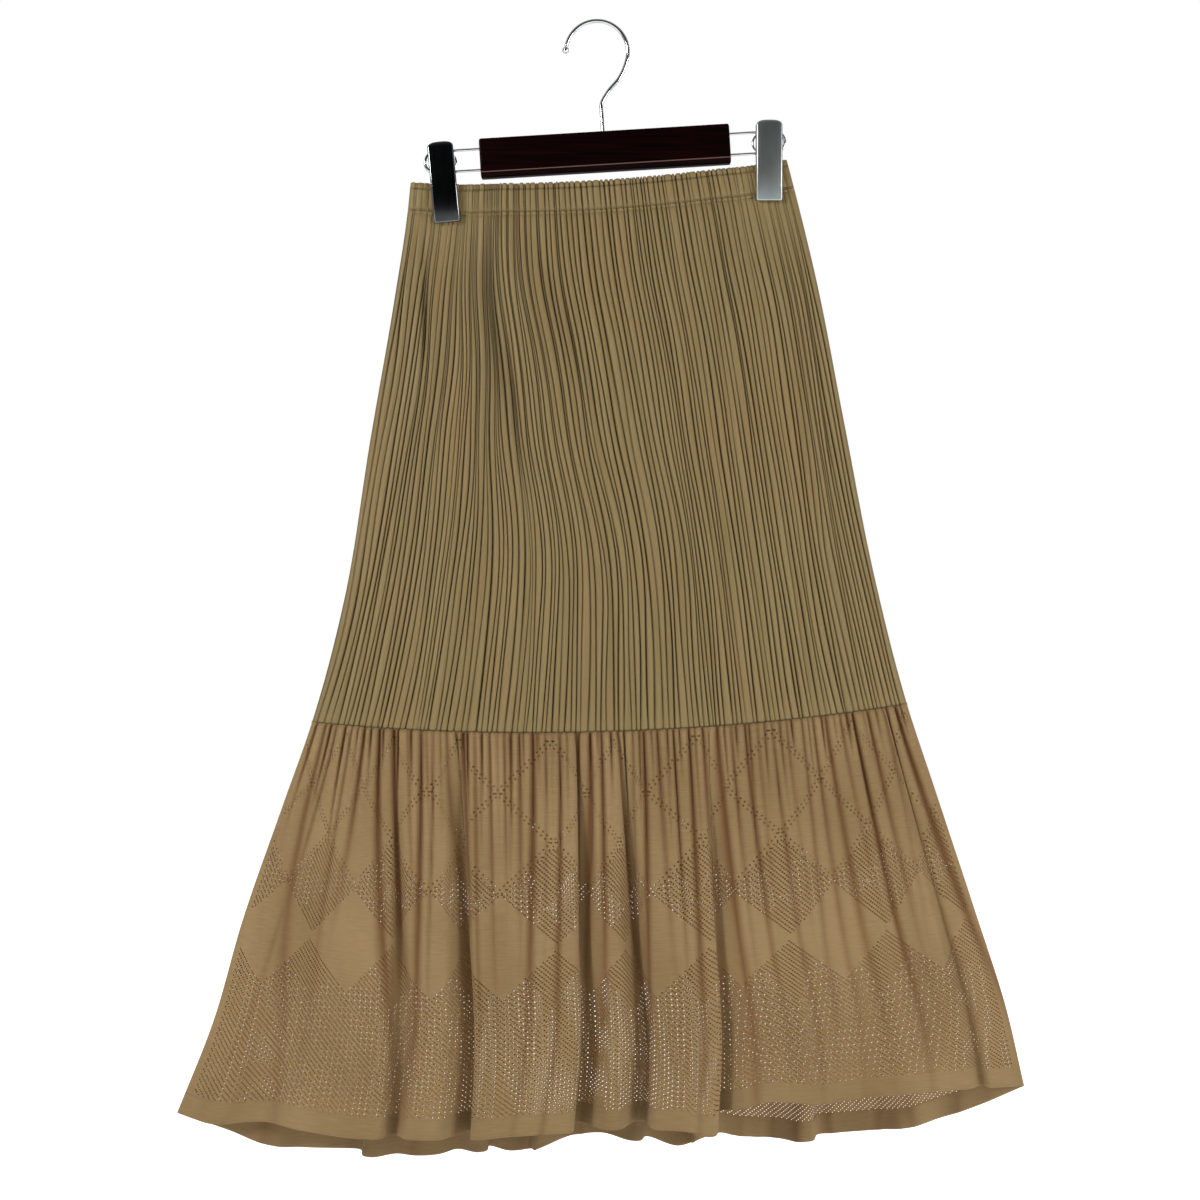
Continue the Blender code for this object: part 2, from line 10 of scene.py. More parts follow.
import bpy
import numpy as np
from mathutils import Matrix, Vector


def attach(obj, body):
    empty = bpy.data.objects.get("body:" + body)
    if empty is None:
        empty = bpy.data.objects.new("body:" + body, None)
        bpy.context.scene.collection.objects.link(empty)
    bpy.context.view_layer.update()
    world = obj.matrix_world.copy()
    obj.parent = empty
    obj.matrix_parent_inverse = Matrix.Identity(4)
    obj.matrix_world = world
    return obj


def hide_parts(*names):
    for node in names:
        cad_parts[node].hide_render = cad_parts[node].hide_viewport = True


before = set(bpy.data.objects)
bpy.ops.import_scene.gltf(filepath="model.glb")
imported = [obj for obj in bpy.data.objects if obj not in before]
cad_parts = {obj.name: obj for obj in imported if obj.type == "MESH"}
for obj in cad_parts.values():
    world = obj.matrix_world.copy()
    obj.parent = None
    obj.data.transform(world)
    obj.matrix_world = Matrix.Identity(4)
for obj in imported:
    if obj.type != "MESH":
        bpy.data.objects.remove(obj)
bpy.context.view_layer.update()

# The pleated body. Two panels of olive polyester, heat-pressed into fine uneven pleats that run from the
# waist to the flounce seam, joined at the side seams. Each is one thin sheet on the form of its wall.

MM = 0.001
FRONT = -1
BACK = 1
SIDES = ((FRONT, "front"), (BACK, "back"))
CASING_FOOT = 25.0
FLOUNCE_SEAM = 478.0
HEM = 826.0

Section = namedtuple("Section", "name down left_x left_z right_x right_z front_drop back_drop depth")
SECTIONS = (
    Section("waist edge", 0.0, -164.0, -140.5, 167.0, -120.5, 9.5, 15.0, 6.0),
    Section("casing foot", CASING_FOOT, -166.5, -165.0, 173.5, -145.5, 11.0, 17.0, 7.0),
    Section("high hip", 105.0, -178.5, -245.0, 193.0, -226.0, 12.0, 21.0, 12.0),
    Section("low hip", 228.0, -199.5, -367.0, 217.0, -349.0, 12.5, 26.0, 17.0),
    Section("thigh", 369.0, -222.5, -508.0, 245.0, -491.0, 13.5, 31.0, 21.0),
    Section("flounce seam", FLOUNCE_SEAM, -251.0, -616.0, 273.0, -600.0, 14.5, 35.0, 23.0),
    Section("high flounce", 548.0, -276.0, -687.0, 297.0, -673.0, 16.0, 37.0, 26.0),
    Section("low flounce", 653.0, -312.0, -790.0, 332.0, -779.0, 18.0, 40.0, 30.0),
    Section("over the hem", 742.0, -337.5, -878.0, 359.0, -863.0, 19.0, 43.0, 33.0),
    Section("hem", HEM, -369.5, -959.0, 376.0, -935.5, 20.0, 45.0, 35.0),
)
SEAM_SECTION = SECTIONS[5]
HEM_SECTION = SECTIONS[-1]
# How flat the form is in the middle before it falls off to the side seams, and how near to them its relief
# ends; the hem's own shape starts at its level
DEPTH_FALLOFF = 3.0
RELIEF_FALLOFF = 40
HEM_SHAPE_START = 617.0

HemPlace = namedtuple("HemPlace", "x front_drop back_drop")
HEM_PLACES = (
    HemPlace(-369.5, 0.0, 0.0),
    HemPlace(-340.0, 8.0, 14.0),
    HemPlace(-290.0, 8.0, 35.0),
    HemPlace(-205.0, 19.0, 47.0),
    HemPlace(-145.0, 21.0, 55.0),
    HemPlace(-108.0, 22.0, 46.0),
    HemPlace(-77.0, 20.0, 54.0),
    HemPlace(-25.0, 18.0, 42.0),
    HemPlace(40.0, 17.0, 43.0),
    HemPlace(77.0, 20.0, 54.0),
    HemPlace(103.0, 24.0, 42.0),
    HemPlace(122.0, 7.0, 46.0),
    HemPlace(200.0, 2.0, 46.0),
    HemPlace(290.0, -3.0, 35.0),
    HemPlace(340.0, -2.0, 18.0),
    HemPlace(376.0, 0.0, 0.0),
)

ClipPlace = namedtuple("ClipPlace", "name top_x top_z foot_x foot_z")
CLIPS = (
    ClipPlace("left", -137.9, -105.5, -131.2, -176.5),
    ClipPlace("right", 151.2, -86.3, 151.2, -157.5),
)
# A clip presses the pleats flat this far from its middle, and less and less out to the spread and below its
# foot; the creases start again nearer to it
PINCH_FLAT = 14.0
PINCH_SPREAD = 48.0
PINCH_FADE = 90.0
CLIPPED_FLAT = 12.5
CLIPPED_SPREAD = 20.0

# Soft ridges and troughs over the pleats. They die out at the side seams, and none is deeper than a share of
# the form.
CREASE_FALLOFF = 12
DEEPEST_CREASE = 0.8
Crease = namedtuple("Crease", "name top_x top_down foot_x foot_down half_width out")
FRONT_CREASES = (
    Crease("outer bunch by the left clip", -160.5, -20.0, -170.0, 140.0, 3.0, 5.5),
    Crease("inner bunch by the left clip", -154.0, -14.0, -157.0, 90.0, 2.4, 4.0),
    Crease("roll inside the deep crease", -145.0, 30.0, -143.0, 190.0, 5.0, 4.5),
    Crease("deep crease", -153.5, -20.0, -149.5, 165.0, 3.0, -5.0),
    Crease("left trough", -106.0, 30.0, -62.0, 260.0, 13.0, -4.5),
    Crease("roll right of the left trough", -84.0, 30.0, -34.0, 240.0, 11.0, 3.5),
    Crease("middle trough", -62.0, 34.0, 2.0, 210.0, 13.0, -3.5),
    Crease("right trough", 118.0, 40.0, 104.0, 200.0, 11.0, -2.5),
    Crease("side seam", 179.5, 30.0, 206.0, 290.0, 1.6, -2.5),
    Crease("right side roll", 172.0, 40.0, 196.0, 330.0, 8.0, 3.5),
)
BACK_CREASES = (
    Crease("bunch outside the right clip", 160.0, -8.0, 182.0, 150.0, 5.0, 4.0),
    Crease("right trough", 95.0, 50.0, 70.0, 280.0, 10.0, -4.0),
    Crease("left trough", -70.0, 50.0, -110.0, 320.0, 11.0, -4.5),
    Crease("bunch outside the left clip", -155.0, -8.0, -168.0, 130.0, 5.0, 3.0),
)

# Pleats: how many on a side, the cloth that shows in one, and where its columns lie between its two valleys
PLEATS = 106
CLOTH_IN_PLEAT = 7.0
IN_PLEAT = np.array([0.0, 0.04, 0.09, 0.17, 0.34, 0.62, 0.82, 0.91, 0.96])
# Pleats folded shut at the waist: how likely everywhere and in one place, how far shut, how far sunk, how
# much shallower their valleys are, and from how far before to how far after its level one opens
SHUT_CHANCE = 0.12
SHUT_CHANCE_THERE = 0.85
SHUT_PLACE = {FRONT: -0.5, BACK: 0.35}
SHUT_SPREAD = 0.3
SHUT_SHARE = 0.74
SHUT_SUNK = 0.35
SHUT_FLATTER = 0.6
OPENS_BEFORE = 60.0
OPENS_AFTER = 80.0
# What differs from pleat to pleat, each drawn evenly between two values. Levels and lengths are in
# millimetres, and the rest are shares of a pleat's width or depth.
OPENING_LEVEL = (60.0, 300.0)
PLEAT_WIDTH = (0.62, 1.42)
SWAY_LENGTH = (160.0, 420.0)
VALLEY_DEPTH = (0.55, 1.0)
VALLEY_STEADY = (0.5, 1.0)
WANE_LENGTH = (130.0, 500.0)
LEFT_FLANK = (0.09, 0.16)
RIGHT_FLANK = (0.09, 0.19)
CROWN = (-0.06, 0.1)
# How far a valley line sways, in widths of a pleat; how far the ridges stand out and the valleys lie under
# them; the share of both that a clip leaves; and how much painted shade a trough's depth adds
SWAY = 0.2
RIDGE = 2.2
VALLEY = 3.4
PRESSED_PLEAT = 0.4
TROUGH_PAINTED_SHADE = 0.034


def smooth_through(at, places, values):
    """A cubic curve through a table's rows, whose slope at each row comes from its neighbours."""
    at, places, values = (np.asarray(column, float) for column in (at, places, values))
    slopes = np.gradient(values, places)
    row = np.clip(np.searchsorted(places, at, side="right") - 1, 0, len(places) - 2)
    width = places[row + 1] - places[row]
    t = (at - places[row]) / width
    near = (1 + 2 * t) * (1 - t) ** 2 * values[row] + t * (1 - t) ** 2 * width * slopes[row]
    far = t ** 2 * (3 - 2 * t) * values[row + 1] + t ** 2 * (t - 1) * width * slopes[row + 1]
    return near + far


def ease(at, start, end):
    """Rises smoothly from 0 at start to 1 at end."""
    t = np.clip((at - start) / (end - start), 0, 1)
    return t * t * (3 - 2 * t)


def section_value(column, down):
    """A column of the outline's table, read at any level down the cloth."""
    return smooth_through(down, [s.down for s in SECTIONS], [getattr(s, column) for s in SECTIONS])


def across_at(x, down):
    """Where x lies between the side seams: -1 at the left one and 1 at the right one."""
    left, right = section_value("left_x", down), section_value("right_x", down)
    return np.clip(2 * (x - left) / (right - left) - 1, -1, 1)


def height_at(x, down, side):
    """The level line through this place: straight between the side seams, plus the drop in the middle."""
    across = across_at(x, down)
    left, right = section_value("left_z", down), section_value("right_z", down)
    straight = left + (right - left) * (across + 1) / 2
    drop = section_value("front_drop" if side == FRONT else "back_drop", down) * (1 - across ** 2)
    places = [place.x for place in HEM_PLACES]
    drops = [place.front_drop if side == FRONT else place.back_drop for place in HEM_PLACES]
    hem_x = HEM_SECTION.left_x + (HEM_SECTION.right_x - HEM_SECTION.left_x) * (across + 1) / 2
    toward_hem = ease(down, HEM_SHAPE_START, HEM)
    return straight - drop * (1 - toward_hem) - smooth_through(hem_x, places, drops) * toward_hem


def pinched(x, z, flat=PINCH_FLAT, spread=PINCH_SPREAD):
    """1 where a clip presses the cloth flat, fading to 0 beside and below it."""
    share = np.zeros(np.broadcast(x, z).shape)
    for clip in CLIPS:
        lean = (clip.foot_x - clip.top_x) / (clip.foot_z - clip.top_z)
        centre = clip.top_x + lean * (np.maximum(z, clip.foot_z) - clip.top_z)
        beside = 1 - ease(np.abs(x - centre), flat, spread)
        below = 1 - ease(clip.foot_z - z, 0, PINCH_FADE)
        share = np.maximum(share, beside * below)
    return share


def crease_relief(x, down, side):
    """The sum of soft ridges and troughs along lines from their tops to their feet.

    Each is out * sin(pi t) ** 0.5 * exp(-(distance / half width) ** 2), with t from 0 to 1 down its line.
    """
    relief = np.zeros(np.broadcast(x, down).shape)
    for crease in FRONT_CREASES if side == FRONT else BACK_CREASES:
        t = (down - crease.top_down) / (crease.foot_down - crease.top_down)
        centre = crease.top_x + (crease.foot_x - crease.top_x) * t
        length = np.sin(math.pi * np.clip(t, 0, 1)) ** 0.5
        relief += crease.out * length * np.exp(-((x - centre) / crease.half_width) ** 2)
    return relief


def pleat_pattern(side, down):
    """Where the columns run across the panel, and how far they sink below the ridges, from 0 to 1.

    The pleats differ in width, and some are folded nearly shut at the waist and open further down, most of
    them in one place, from where the valley lines fan out. Each valley line sways a little, has its own
    depth, which comes and goes, and two flanks that fall off as exp(-(distance / flank) ** 1.6). Between
    them a pleat is crowned or hollow as sin(pi share).
    """
    random = np.random.default_rng(31 if side == FRONT else 47)
    level = down[:, None]
    middle = (2 * np.arange(PLEATS) + 1) / PLEATS - 1
    chance = SHUT_CHANCE + SHUT_CHANCE_THERE * np.exp(-((middle - SHUT_PLACE[side]) / SHUT_SPREAD) ** 2)
    shut = random.uniform(0, 1, PLEATS) < chance
    opening = random.uniform(*OPENING_LEVEL, PLEATS)
    shown = 1 - SHUT_SHARE * shut * (1 - ease(level, opening - OPENS_BEFORE, opening + OPENS_AFTER))
    width = random.uniform(*PLEAT_WIDTH, PLEATS) * shown
    line = np.concatenate([np.zeros((len(down), 1)), np.cumsum(width, axis=1)], axis=1)
    line = 2 * line / line[:, -1:] - 1

    count = PLEATS + 1
    inside = np.ones(count)
    inside[[0, -1]] = 0
    narrower = np.minimum(np.pad(shown, ((0, 0), (1, 0)), "edge"), np.pad(shown, ((0, 0), (0, 1)), "edge"))
    sway = SWAY * 2 / PLEATS * inside * narrower
    sway_length, sway_start = random.uniform(*SWAY_LENGTH, count), random.uniform(0, 1, count)
    line = line + sway * np.sin(2 * math.pi * (level / sway_length + sway_start))
    depth = random.uniform(*VALLEY_DEPTH, count)
    steady = random.uniform(*VALLEY_STEADY, count)
    wane_length, wane_start = random.uniform(*WANE_LENGTH, count), random.uniform(0, 1, count)
    wane = steady + (1 - steady) * (0.5 + 0.5 * np.sin(2 * math.pi * (level / wane_length + wane_start)))
    wider = np.maximum(np.pad(shown, ((0, 0), (1, 0)), "edge"), np.pad(shown, ((0, 0), (0, 1)), "edge"))
    deep = depth * wane * (1 - SHUT_FLATTER * (1 - wider))
    left_flank, right_flank = random.uniform(*LEFT_FLANK, count), random.uniform(*RIGHT_FLANK, count)
    crown = random.uniform(*CROWN, count)

    pleat = np.append(np.repeat(np.arange(PLEATS), len(IN_PLEAT)), PLEATS - 1)
    share = np.append(np.tile(IN_PLEAT, PLEATS), 1.0)
    open_share = shown[:, pleat]
    across = line[:, pleat] * (1 - share) + line[:, pleat + 1] * share
    near = np.exp(-(share / right_flank[pleat]) ** 1.6) * deep[:, pleat]
    far = np.exp(-((1 - share) / left_flank[pleat + 1]) ** 1.6) * deep[:, pleat + 1]
    sunk = np.minimum(near + far, 1.0) - crown[pleat] * np.sin(math.pi * share)
    return across, sunk + (1 - sunk) * SHUT_SUNK * (1 - open_share)


def outward(points, side):
    """Level directions square to each row of points, pointing away from the inside of the skirt."""
    step = np.gradient(points, axis=1)
    direction = np.stack([step[..., 1], -step[..., 0], np.zeros(step.shape[:2])], axis=-1)
    direction /= np.linalg.norm(direction, axis=-1, keepdims=True)
    return -side * direction


def pleated_points(side, down, off, ridge, valley):
    """A pleated sheet: the skirt's form at each level, moved out by off, ridges and valleys.

    The form is depth * (1 - |across| ** DEPTH_FALLOFF), less where a clip presses it. Both panels run into
    the same line at the side seams, so the tube is closed there. It also gives each point's painted shade,
    from how deep it lies in its pleat or in a trough.
    """
    across, sunk = pleat_pattern(side, down)
    level = down[:, None]
    left, right = section_value("left_x", level), section_value("right_x", level)
    x = left + (right - left) * (across + 1) / 2
    z = height_at(x, level, side)
    pressed = pinched(x, z)
    out = section_value("depth", level) * (1 - np.abs(across) ** DEPTH_FALLOFF) * (1 - pressed)
    form = np.stack([x, side * out, z], axis=-1)
    relief = crease_relief(x, level, side) * (1 - np.abs(across) ** CREASE_FALLOFF)
    creases = np.maximum(relief * (1 - pinched(x, z, CLIPPED_FLAT, CLIPPED_SPREAD)), -DEEPEST_CREASE * out)
    flat = 1 - (1 - PRESSED_PLEAT) * pressed
    proud = off + creases + (ridge - valley * sunk) * flat
    rim = 1 - np.abs(across) ** RELIEF_FALLOFF
    # Painted shade: darker down in the pleats and in the troughs, less where a clip presses the pleats flat
    painted_light = sunk * flat + TROUGH_PAINTED_SHADE * np.maximum(-relief, 0) ** 1.5
    return form + outward(form, side) * (proud * rim)[..., None], np.clip(painted_light, 0, 1)


def make_piece(name, points, faces, material, cloth_places=None, painted_light=None):
    """A mesh object from points in millimetres, with its cloth places in metres as a UV map.

    The last argument holds painted light, one number for each point, kept as a point attribute named as the
    argument for the material to read: painted shade on the cloth and painted highlights on the hanger.
    """
    mesh = bpy.data.meshes.new(name)
    mesh.from_pydata(np.asarray(points).reshape(-1, 3) * MM, [], faces)
    mesh.shade_smooth()
    if cloth_places is not None:
        layer = mesh.uv_layers.new(name="cloth")
        corner = np.empty(len(mesh.loops), dtype=np.int32)
        mesh.loops.foreach_get("vertex_index", corner)
        layer.uv.foreach_set("vector", (np.asarray(cloth_places).reshape(-1, 2)[corner] * MM).ravel())
    if painted_light is not None:
        layer = mesh.attributes.new("painted_light", "FLOAT", "POINT")
        layer.data.foreach_set("value", np.asarray(painted_light, dtype=np.float32).ravel())
    mesh.materials.append(material)
    made = bpy.data.objects.new(name, mesh)
    bpy.context.scene.collection.objects.link(made)
    return made


def grid_faces(rows, columns, side):
    """The four-cornered faces of a grid of points, wound so that they face away from the skirt's inside."""
    index = np.arange(rows * columns).reshape(rows, columns)
    faces = np.stack([index[:-1, :-1], index[1:, :-1], index[1:, 1:], index[:-1, 1:]], axis=-1)
    faces = faces.reshape(-1, 4)
    return faces if side == FRONT else faces[:, ::-1]


def linear(hex_colour):
    """Turns an sRGB hex colour to linear RGBA."""
    channels = [int(hex_colour[place:place + 2], 16) / 255 for place in (0, 2, 4)]
    return [c / 12.92 if c <= 0.04045 else ((c + 0.055) / 1.055) ** 2.4 for c in channels] + [1.0]


def add_node(tree, kind, inputs=None, **settings):
    """Adds a node with its settings, and gives each input its value or links it.

    An input is linked to an output, or to a node, which stands for its first output.
    """
    made = tree.nodes.new("ShaderNode" + kind)
    for name, value in settings.items():
        setattr(made, name, value)
    for key, value in (inputs or {}).items():
        value = value.outputs[0] if isinstance(value, bpy.types.Node) else value
        if isinstance(value, bpy.types.NodeSocket):
            tree.links.new(value, made.inputs[key])
        else:
            made.inputs[key].default_value = value
    return made


def new_material(name):
    """An empty node material and its tree."""
    material = bpy.data.materials.new(name)
    material.use_nodes = True
    material.node_tree.nodes.clear()
    return material, material.node_tree


# Plain-woven polyester, heat-pressed. A soft sheen lies along the ridges, the colour drifts from olive to
# a warmer brown in patches, painted shade darkens it down in the pleats and troughs, and a little light comes
# through from behind.
CLOTH_LIGHT = "88764e"
CLOTH_DARK = "77653c"
CLOTH_WARM = "85673f"
# The colour of the painted shade down in the pleats and troughs
CLOTH_PAINTED_SHADE = "3b2e12"
CLOTH_THROUGH = "a07a3c"
# The real threads are 0.12 mm apart, too fine to show, so the weave is drawn at 0.7 mm.
THREAD = 0.7
THREADS_IN_METRE = (1000 / THREAD, 1000 / THREAD, 1)

pleated_polyester, tree = new_material("pleated olive polyester")
place = add_node(tree, "UVMap", uv_map="cloth")
along = add_node(tree, "Mapping", {"Scale": (260, 5, 1), "Vector": place})
streaks = add_node(tree, "TexNoise", {"Scale": 1.0, "Detail": 3.0, "Roughness": 0.6, "Vector": along})
patch_place = add_node(tree, "Mapping", {"Scale": (16, 6, 1), "Vector": place})
patches = add_node(tree, "TexNoise", {"Scale": 1.0, "Detail": 2.0, "Vector": patch_place})
shade = add_node(tree, "MapRange", {"From Min": 0.3, "From Max": 0.7, "Value": streaks})
colour = add_node(tree, "Mix", {6: linear(CLOTH_DARK), 7: linear(CLOTH_LIGHT), 0: shade}, data_type="RGBA")
warmth = add_node(tree, "MapRange", {"From Min": 0.45, "From Max": 0.75, "To Max": 0.4, "Value": patches})
warmed = add_node(tree, "Mix", {7: linear(CLOTH_WARM), 0: warmth, 6: colour.outputs[2]}, data_type="RGBA")
# Painted shade: the attribute darkens the cloth towards the shade colour down in the pleats and troughs
sunk = add_node(tree, "Attribute", attribute_name="painted_light").outputs["Fac"]
pleat_shade_share = add_node(tree, "MapRange", {"From Min": 0.12, "From Max": 0.8, "To Max": 0.95, "Value": sunk})
with_painted_shade = add_node(
    tree, "Mix", {7: linear(CLOTH_PAINTED_SHADE), 0: pleat_shade_share, 6: warmed.outputs[2]}, data_type="RGBA")
threads = add_node(tree, "Mapping", {"Scale": THREADS_IN_METRE, "Vector": place})
weave = add_node(tree, "TexChecker", {"Scale": 1.0, "Vector": threads})
fine = add_node(tree, "Mix", {"Factor": 0.8, 2: weave.outputs["Fac"], 3: streaks}, data_type="FLOAT")
relief = add_node(tree, "Bump", {"Strength": 0.6, "Distance": 0.0006, "Height": fine})
surface = add_node(
    tree, "BsdfPrincipled",
    {"Roughness": 0.5, "Specular IOR Level": 0.3, "Sheen Weight": 0.08, "Sheen Roughness": 0.4,
     "Base Color": with_painted_shade.outputs[2], "Normal": relief})
through = add_node(tree, "BsdfTranslucent", {"Color": linear(CLOTH_THROUGH)})
cloth = add_node(tree, "MixShader", {"Fac": 0.04, 1: surface, 2: through})
add_node(tree, "OutputMaterial", {"Surface": cloth})

# The rows start 0.3 mm under the casing's foot and are close at the stitching and at the flounce seam. The
# stitching pulls the cloth in and flattens its pleats, and so does the seam's allowance behind the last
# centimetre, which also lifts it and has a little less painted shade; the last edge is tucked under the seam,
# and a dark line is painted along it.
BODY_STITCHING = 27.3
BODY_ROWS = 34
BODY_OFF = 0.85
STITCHING_PULL = 0.5
STITCHING_FLATTENS = 0.6
SEAM_PRESS = 11.0
SEAM_LIFT = 0.35
SEAM_TUCK = 1.3
SEAM_FLATTENS = 0.4
SEAM_LIGHTENS = 0.1
SEAM_MARK = 0.8
pressed_from = FLOUNCE_SEAM - SEAM_PRESS
body_down = np.concatenate([
    [CASING_FOOT + 0.3, 26.4, BODY_STITCHING, 28.3], np.linspace(31.0, pressed_from, BODY_ROWS),
    FLOUNCE_SEAM - np.array([8.0, 5.0, 2.5, 1.0, 0.0])])
near_stitching = np.exp(-(body_down - BODY_STITCHING) ** 2)
near_seam = ease(body_down, pressed_from - 6, pressed_from + 4)
tucked = ease(body_down, FLOUNCE_SEAM - 2.5, FLOUNCE_SEAM)
seam_line = np.exp(-((body_down - FLOUNCE_SEAM + 0.8) / 1.1) ** 2)
body_off = BODY_OFF - STITCHING_PULL * near_stitching + SEAM_LIFT * near_seam - SEAM_TUCK * tucked
body_deep = (1 - STITCHING_FLATTENS * near_stitching) * (1 - SEAM_FLATTENS * near_seam)
cloth_width = PLEATS * CLOTH_IN_PLEAT
for side, word in SIDES:
    points, sunk = pleated_points(
        side, body_down, body_off[:, None], RIDGE * body_deep[:, None], VALLEY * body_deep[:, None])
    rows, columns = sunk.shape
    # Painted shade: a little less on the pressed strip over the seam, and a dark line painted along the
    # tucked edge
    sunk = np.maximum(sunk * (1 - SEAM_LIGHTENS * near_seam[:, None]), SEAM_MARK * seam_line[:, None])
    places = np.stack(np.meshgrid(np.linspace(0, cloth_width, columns), FLOUNCE_SEAM - body_down), axis=-1)
    body = make_piece(
        "pleated_body_" + word, points, grid_faces(rows, columns, side), pleated_polyester, places, sunk)
    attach(body, "root")
    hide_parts("body_" + word)

# The waist casing. A strip of the pleated cloth folded over a flat elastic, which leaves a ruffled header
# above the elastic and is held down by two rows of stitching round its foot.

CasingRow = namedtuple("CasingRow", "name down off pleat")
CASING_ROWS = (
    CasingRow("foot", 25.0, 0.6, 0.55),
    CasingRow("under the stitching", 24.2, 0.8, 0.6),
    CasingRow("upper stitching", 23.3, 0.2, 0.5),
    CasingRow("over the stitching", 22.4, 0.9, 0.6),
    CasingRow("tunnel's foot", 20.0, 1.25, 0.9),
    CasingRow("low in the tunnel", 16.5, 1.35, 1.0),
    CasingRow("middle of the tunnel", 13.0, 1.35, 1.0),
    CasingRow("high in the tunnel", 9.5, 1.35, 1.0),
    CasingRow("tunnel's head", 7.2, 1.35, 1.0),
    CasingRow("elastic's edge", 6.2, 1.3, 0.9),
    CasingRow("groove over the elastic", 5.2, 0.1, 0.75),
    CasingRow("header's foot", 4.2, 0.5, 1.0),
    CasingRow("header", 2.4, 0.7, 1.1),
    CasingRow("header's head", 0.8, 0.5, 1.1),
    CasingRow("outer side of the fold", 0.1, 0.1, 1.0),
    CasingRow("top of the fold", -0.4, -0.5, 0.8),
    CasingRow("inner side of the fold", 0.2, -1.0, 0.5),
    CasingRow("inside the header", 5.0, -1.3, 0.3),
    CasingRow("inside the tunnel", 15.0, -1.3, 0.3),
    CasingRow("inner foot", 24.6, -1.3, 0.3),
)
CASING_RIDGE = 1.7
CASING_VALLEY = 2.6

# Grooves across the casing that get painted shade: their level, half width and how dark the shade is
Groove = namedtuple("Groove", "name down half_width dark")
CASING_GROOVES = (
    Groove("over the elastic", 5.2, 0.8, 0.5),
    Groove("at the foot", 24.8, 0.6, 0.6),
)
# The header's edge dips at each valley by this much, and less down to its foot
HEADER_SCALLOP = 1.6
HEADER_EDGE = 0.5
HEADER_FOOT = 4.0

casing_down, casing_off, casing_pleat = np.array([row[1:] for row in CASING_ROWS]).T
casing_off, casing_pleat = casing_off[:, None], casing_pleat[:, None]
casing_groove_shade = sum(
    groove.dark * np.exp(-((casing_down - groove.down) / groove.half_width) ** 2)
    for groove in CASING_GROOVES)[:, None]
for side, word in SIDES:
    points, sunk = pleated_points(
        side, casing_down, casing_off, CASING_RIDGE * casing_pleat, CASING_VALLEY * casing_pleat)
    rows, columns = sunk.shape
    points[..., 2] -= HEADER_SCALLOP * sunk * (1 - ease(casing_down, HEADER_EDGE, HEADER_FOOT))[:, None]
    run = np.concatenate([[0], np.cumsum(np.hypot(np.diff(casing_down), np.diff(casing_off[:, 0])))])
    places = np.stack(np.meshgrid(np.linspace(0, cloth_width, columns), run), axis=-1)
    # Painted shade down in the pleats and in the grooves
    shaded = np.clip(sunk * casing_pleat + casing_groove_shade, 0, 1)
    casing = make_piece(
        "waist_casing_" + word + "_cloth", points, grid_faces(rows, columns, -side), pleated_polyester,
        places, shaded)
    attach(casing, "root")
    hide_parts("waist_casing_" + word)

# The stitching round the waist. Two rows of lockstitch in dark thread, one on the casing and one on the
# body 4 mm below it, each stitch a small spindle that lies on the pleats.

STITCH_PITCH = 2.6
STITCH_HALF_LENGTH = 0.95
STITCH_HALF_WIDTH = 0.24
# How far a stitch's ends and its middle lie off the cloth, as shares of its half width
STITCH_ENDS_OFF = 0.6
STITCH_MIDDLE_OFF = 0.5

StitchLine = namedtuple("StitchLine", "name down off pleat ridge valley")
WAIST_STITCHING = (
    StitchLine("on the casing", 23.3, 0.5, 0.4, CASING_RIDGE, CASING_VALLEY),
    StitchLine("on the body", BODY_STITCHING, 0.35, 0.4, RIDGE, VALLEY),
)


def stitch_row(line, outwards):
    """Spindles along a line of points: two ends and four points round the middle, joined by eight faces."""
    run = np.concatenate([[0], np.cumsum(np.linalg.norm(np.diff(line, axis=0), axis=1))])
    at = np.arange(STITCH_PITCH, run[-1] - STITCH_PITCH, STITCH_PITCH)[:, None]
    reach = np.array([-STITCH_HALF_LENGTH, 0.0, STITCH_HALF_LENGTH])
    ends = np.stack([np.interp(at + reach, run, line[:, axis]) for axis in range(3)], axis=-1)
    ends = ends + outwards * STITCH_HALF_WIDTH * STITCH_ENDS_OFF
    middle = ends[:, [0, 2]].mean(axis=1) + outwards * STITCH_HALF_WIDTH * STITCH_MIDDLE_OFF
    up = np.array([0.0, 0.0, STITCH_HALF_WIDTH])
    over = outwards * STITCH_HALF_WIDTH
    corners = np.stack(
        [ends[:, 0], ends[:, 2], middle + up, middle + over, middle - up, middle - over], axis=1)
    faces = np.array(
        [(0, 3, 2), (0, 4, 3), (0, 5, 4), (0, 2, 5), (1, 2, 3), (1, 3, 4), (1, 4, 5), (1, 5, 2)])
    first = np.arange(len(corners))[:, None, None] * corners.shape[1]
    return corners, (first + faces).reshape(-1, 3)


def make_stitches(name, rows, side, material):
    """Joins rows of stitches on one side of the skirt into one piece."""
    outwards = np.array([0.0, side, 0.0])
    corners, faces, count = [], [], 0
    for line in rows:
        row_corners, row_faces = stitch_row(line, outwards)
        corners.append(row_corners.reshape(-1, 3))
        faces.append((row_faces if side == FRONT else row_faces[:, ::-1]) + count)
        count += len(corners[-1])
    made = make_piece(name, np.concatenate(corners), np.concatenate(faces), material)
    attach(made, "root")


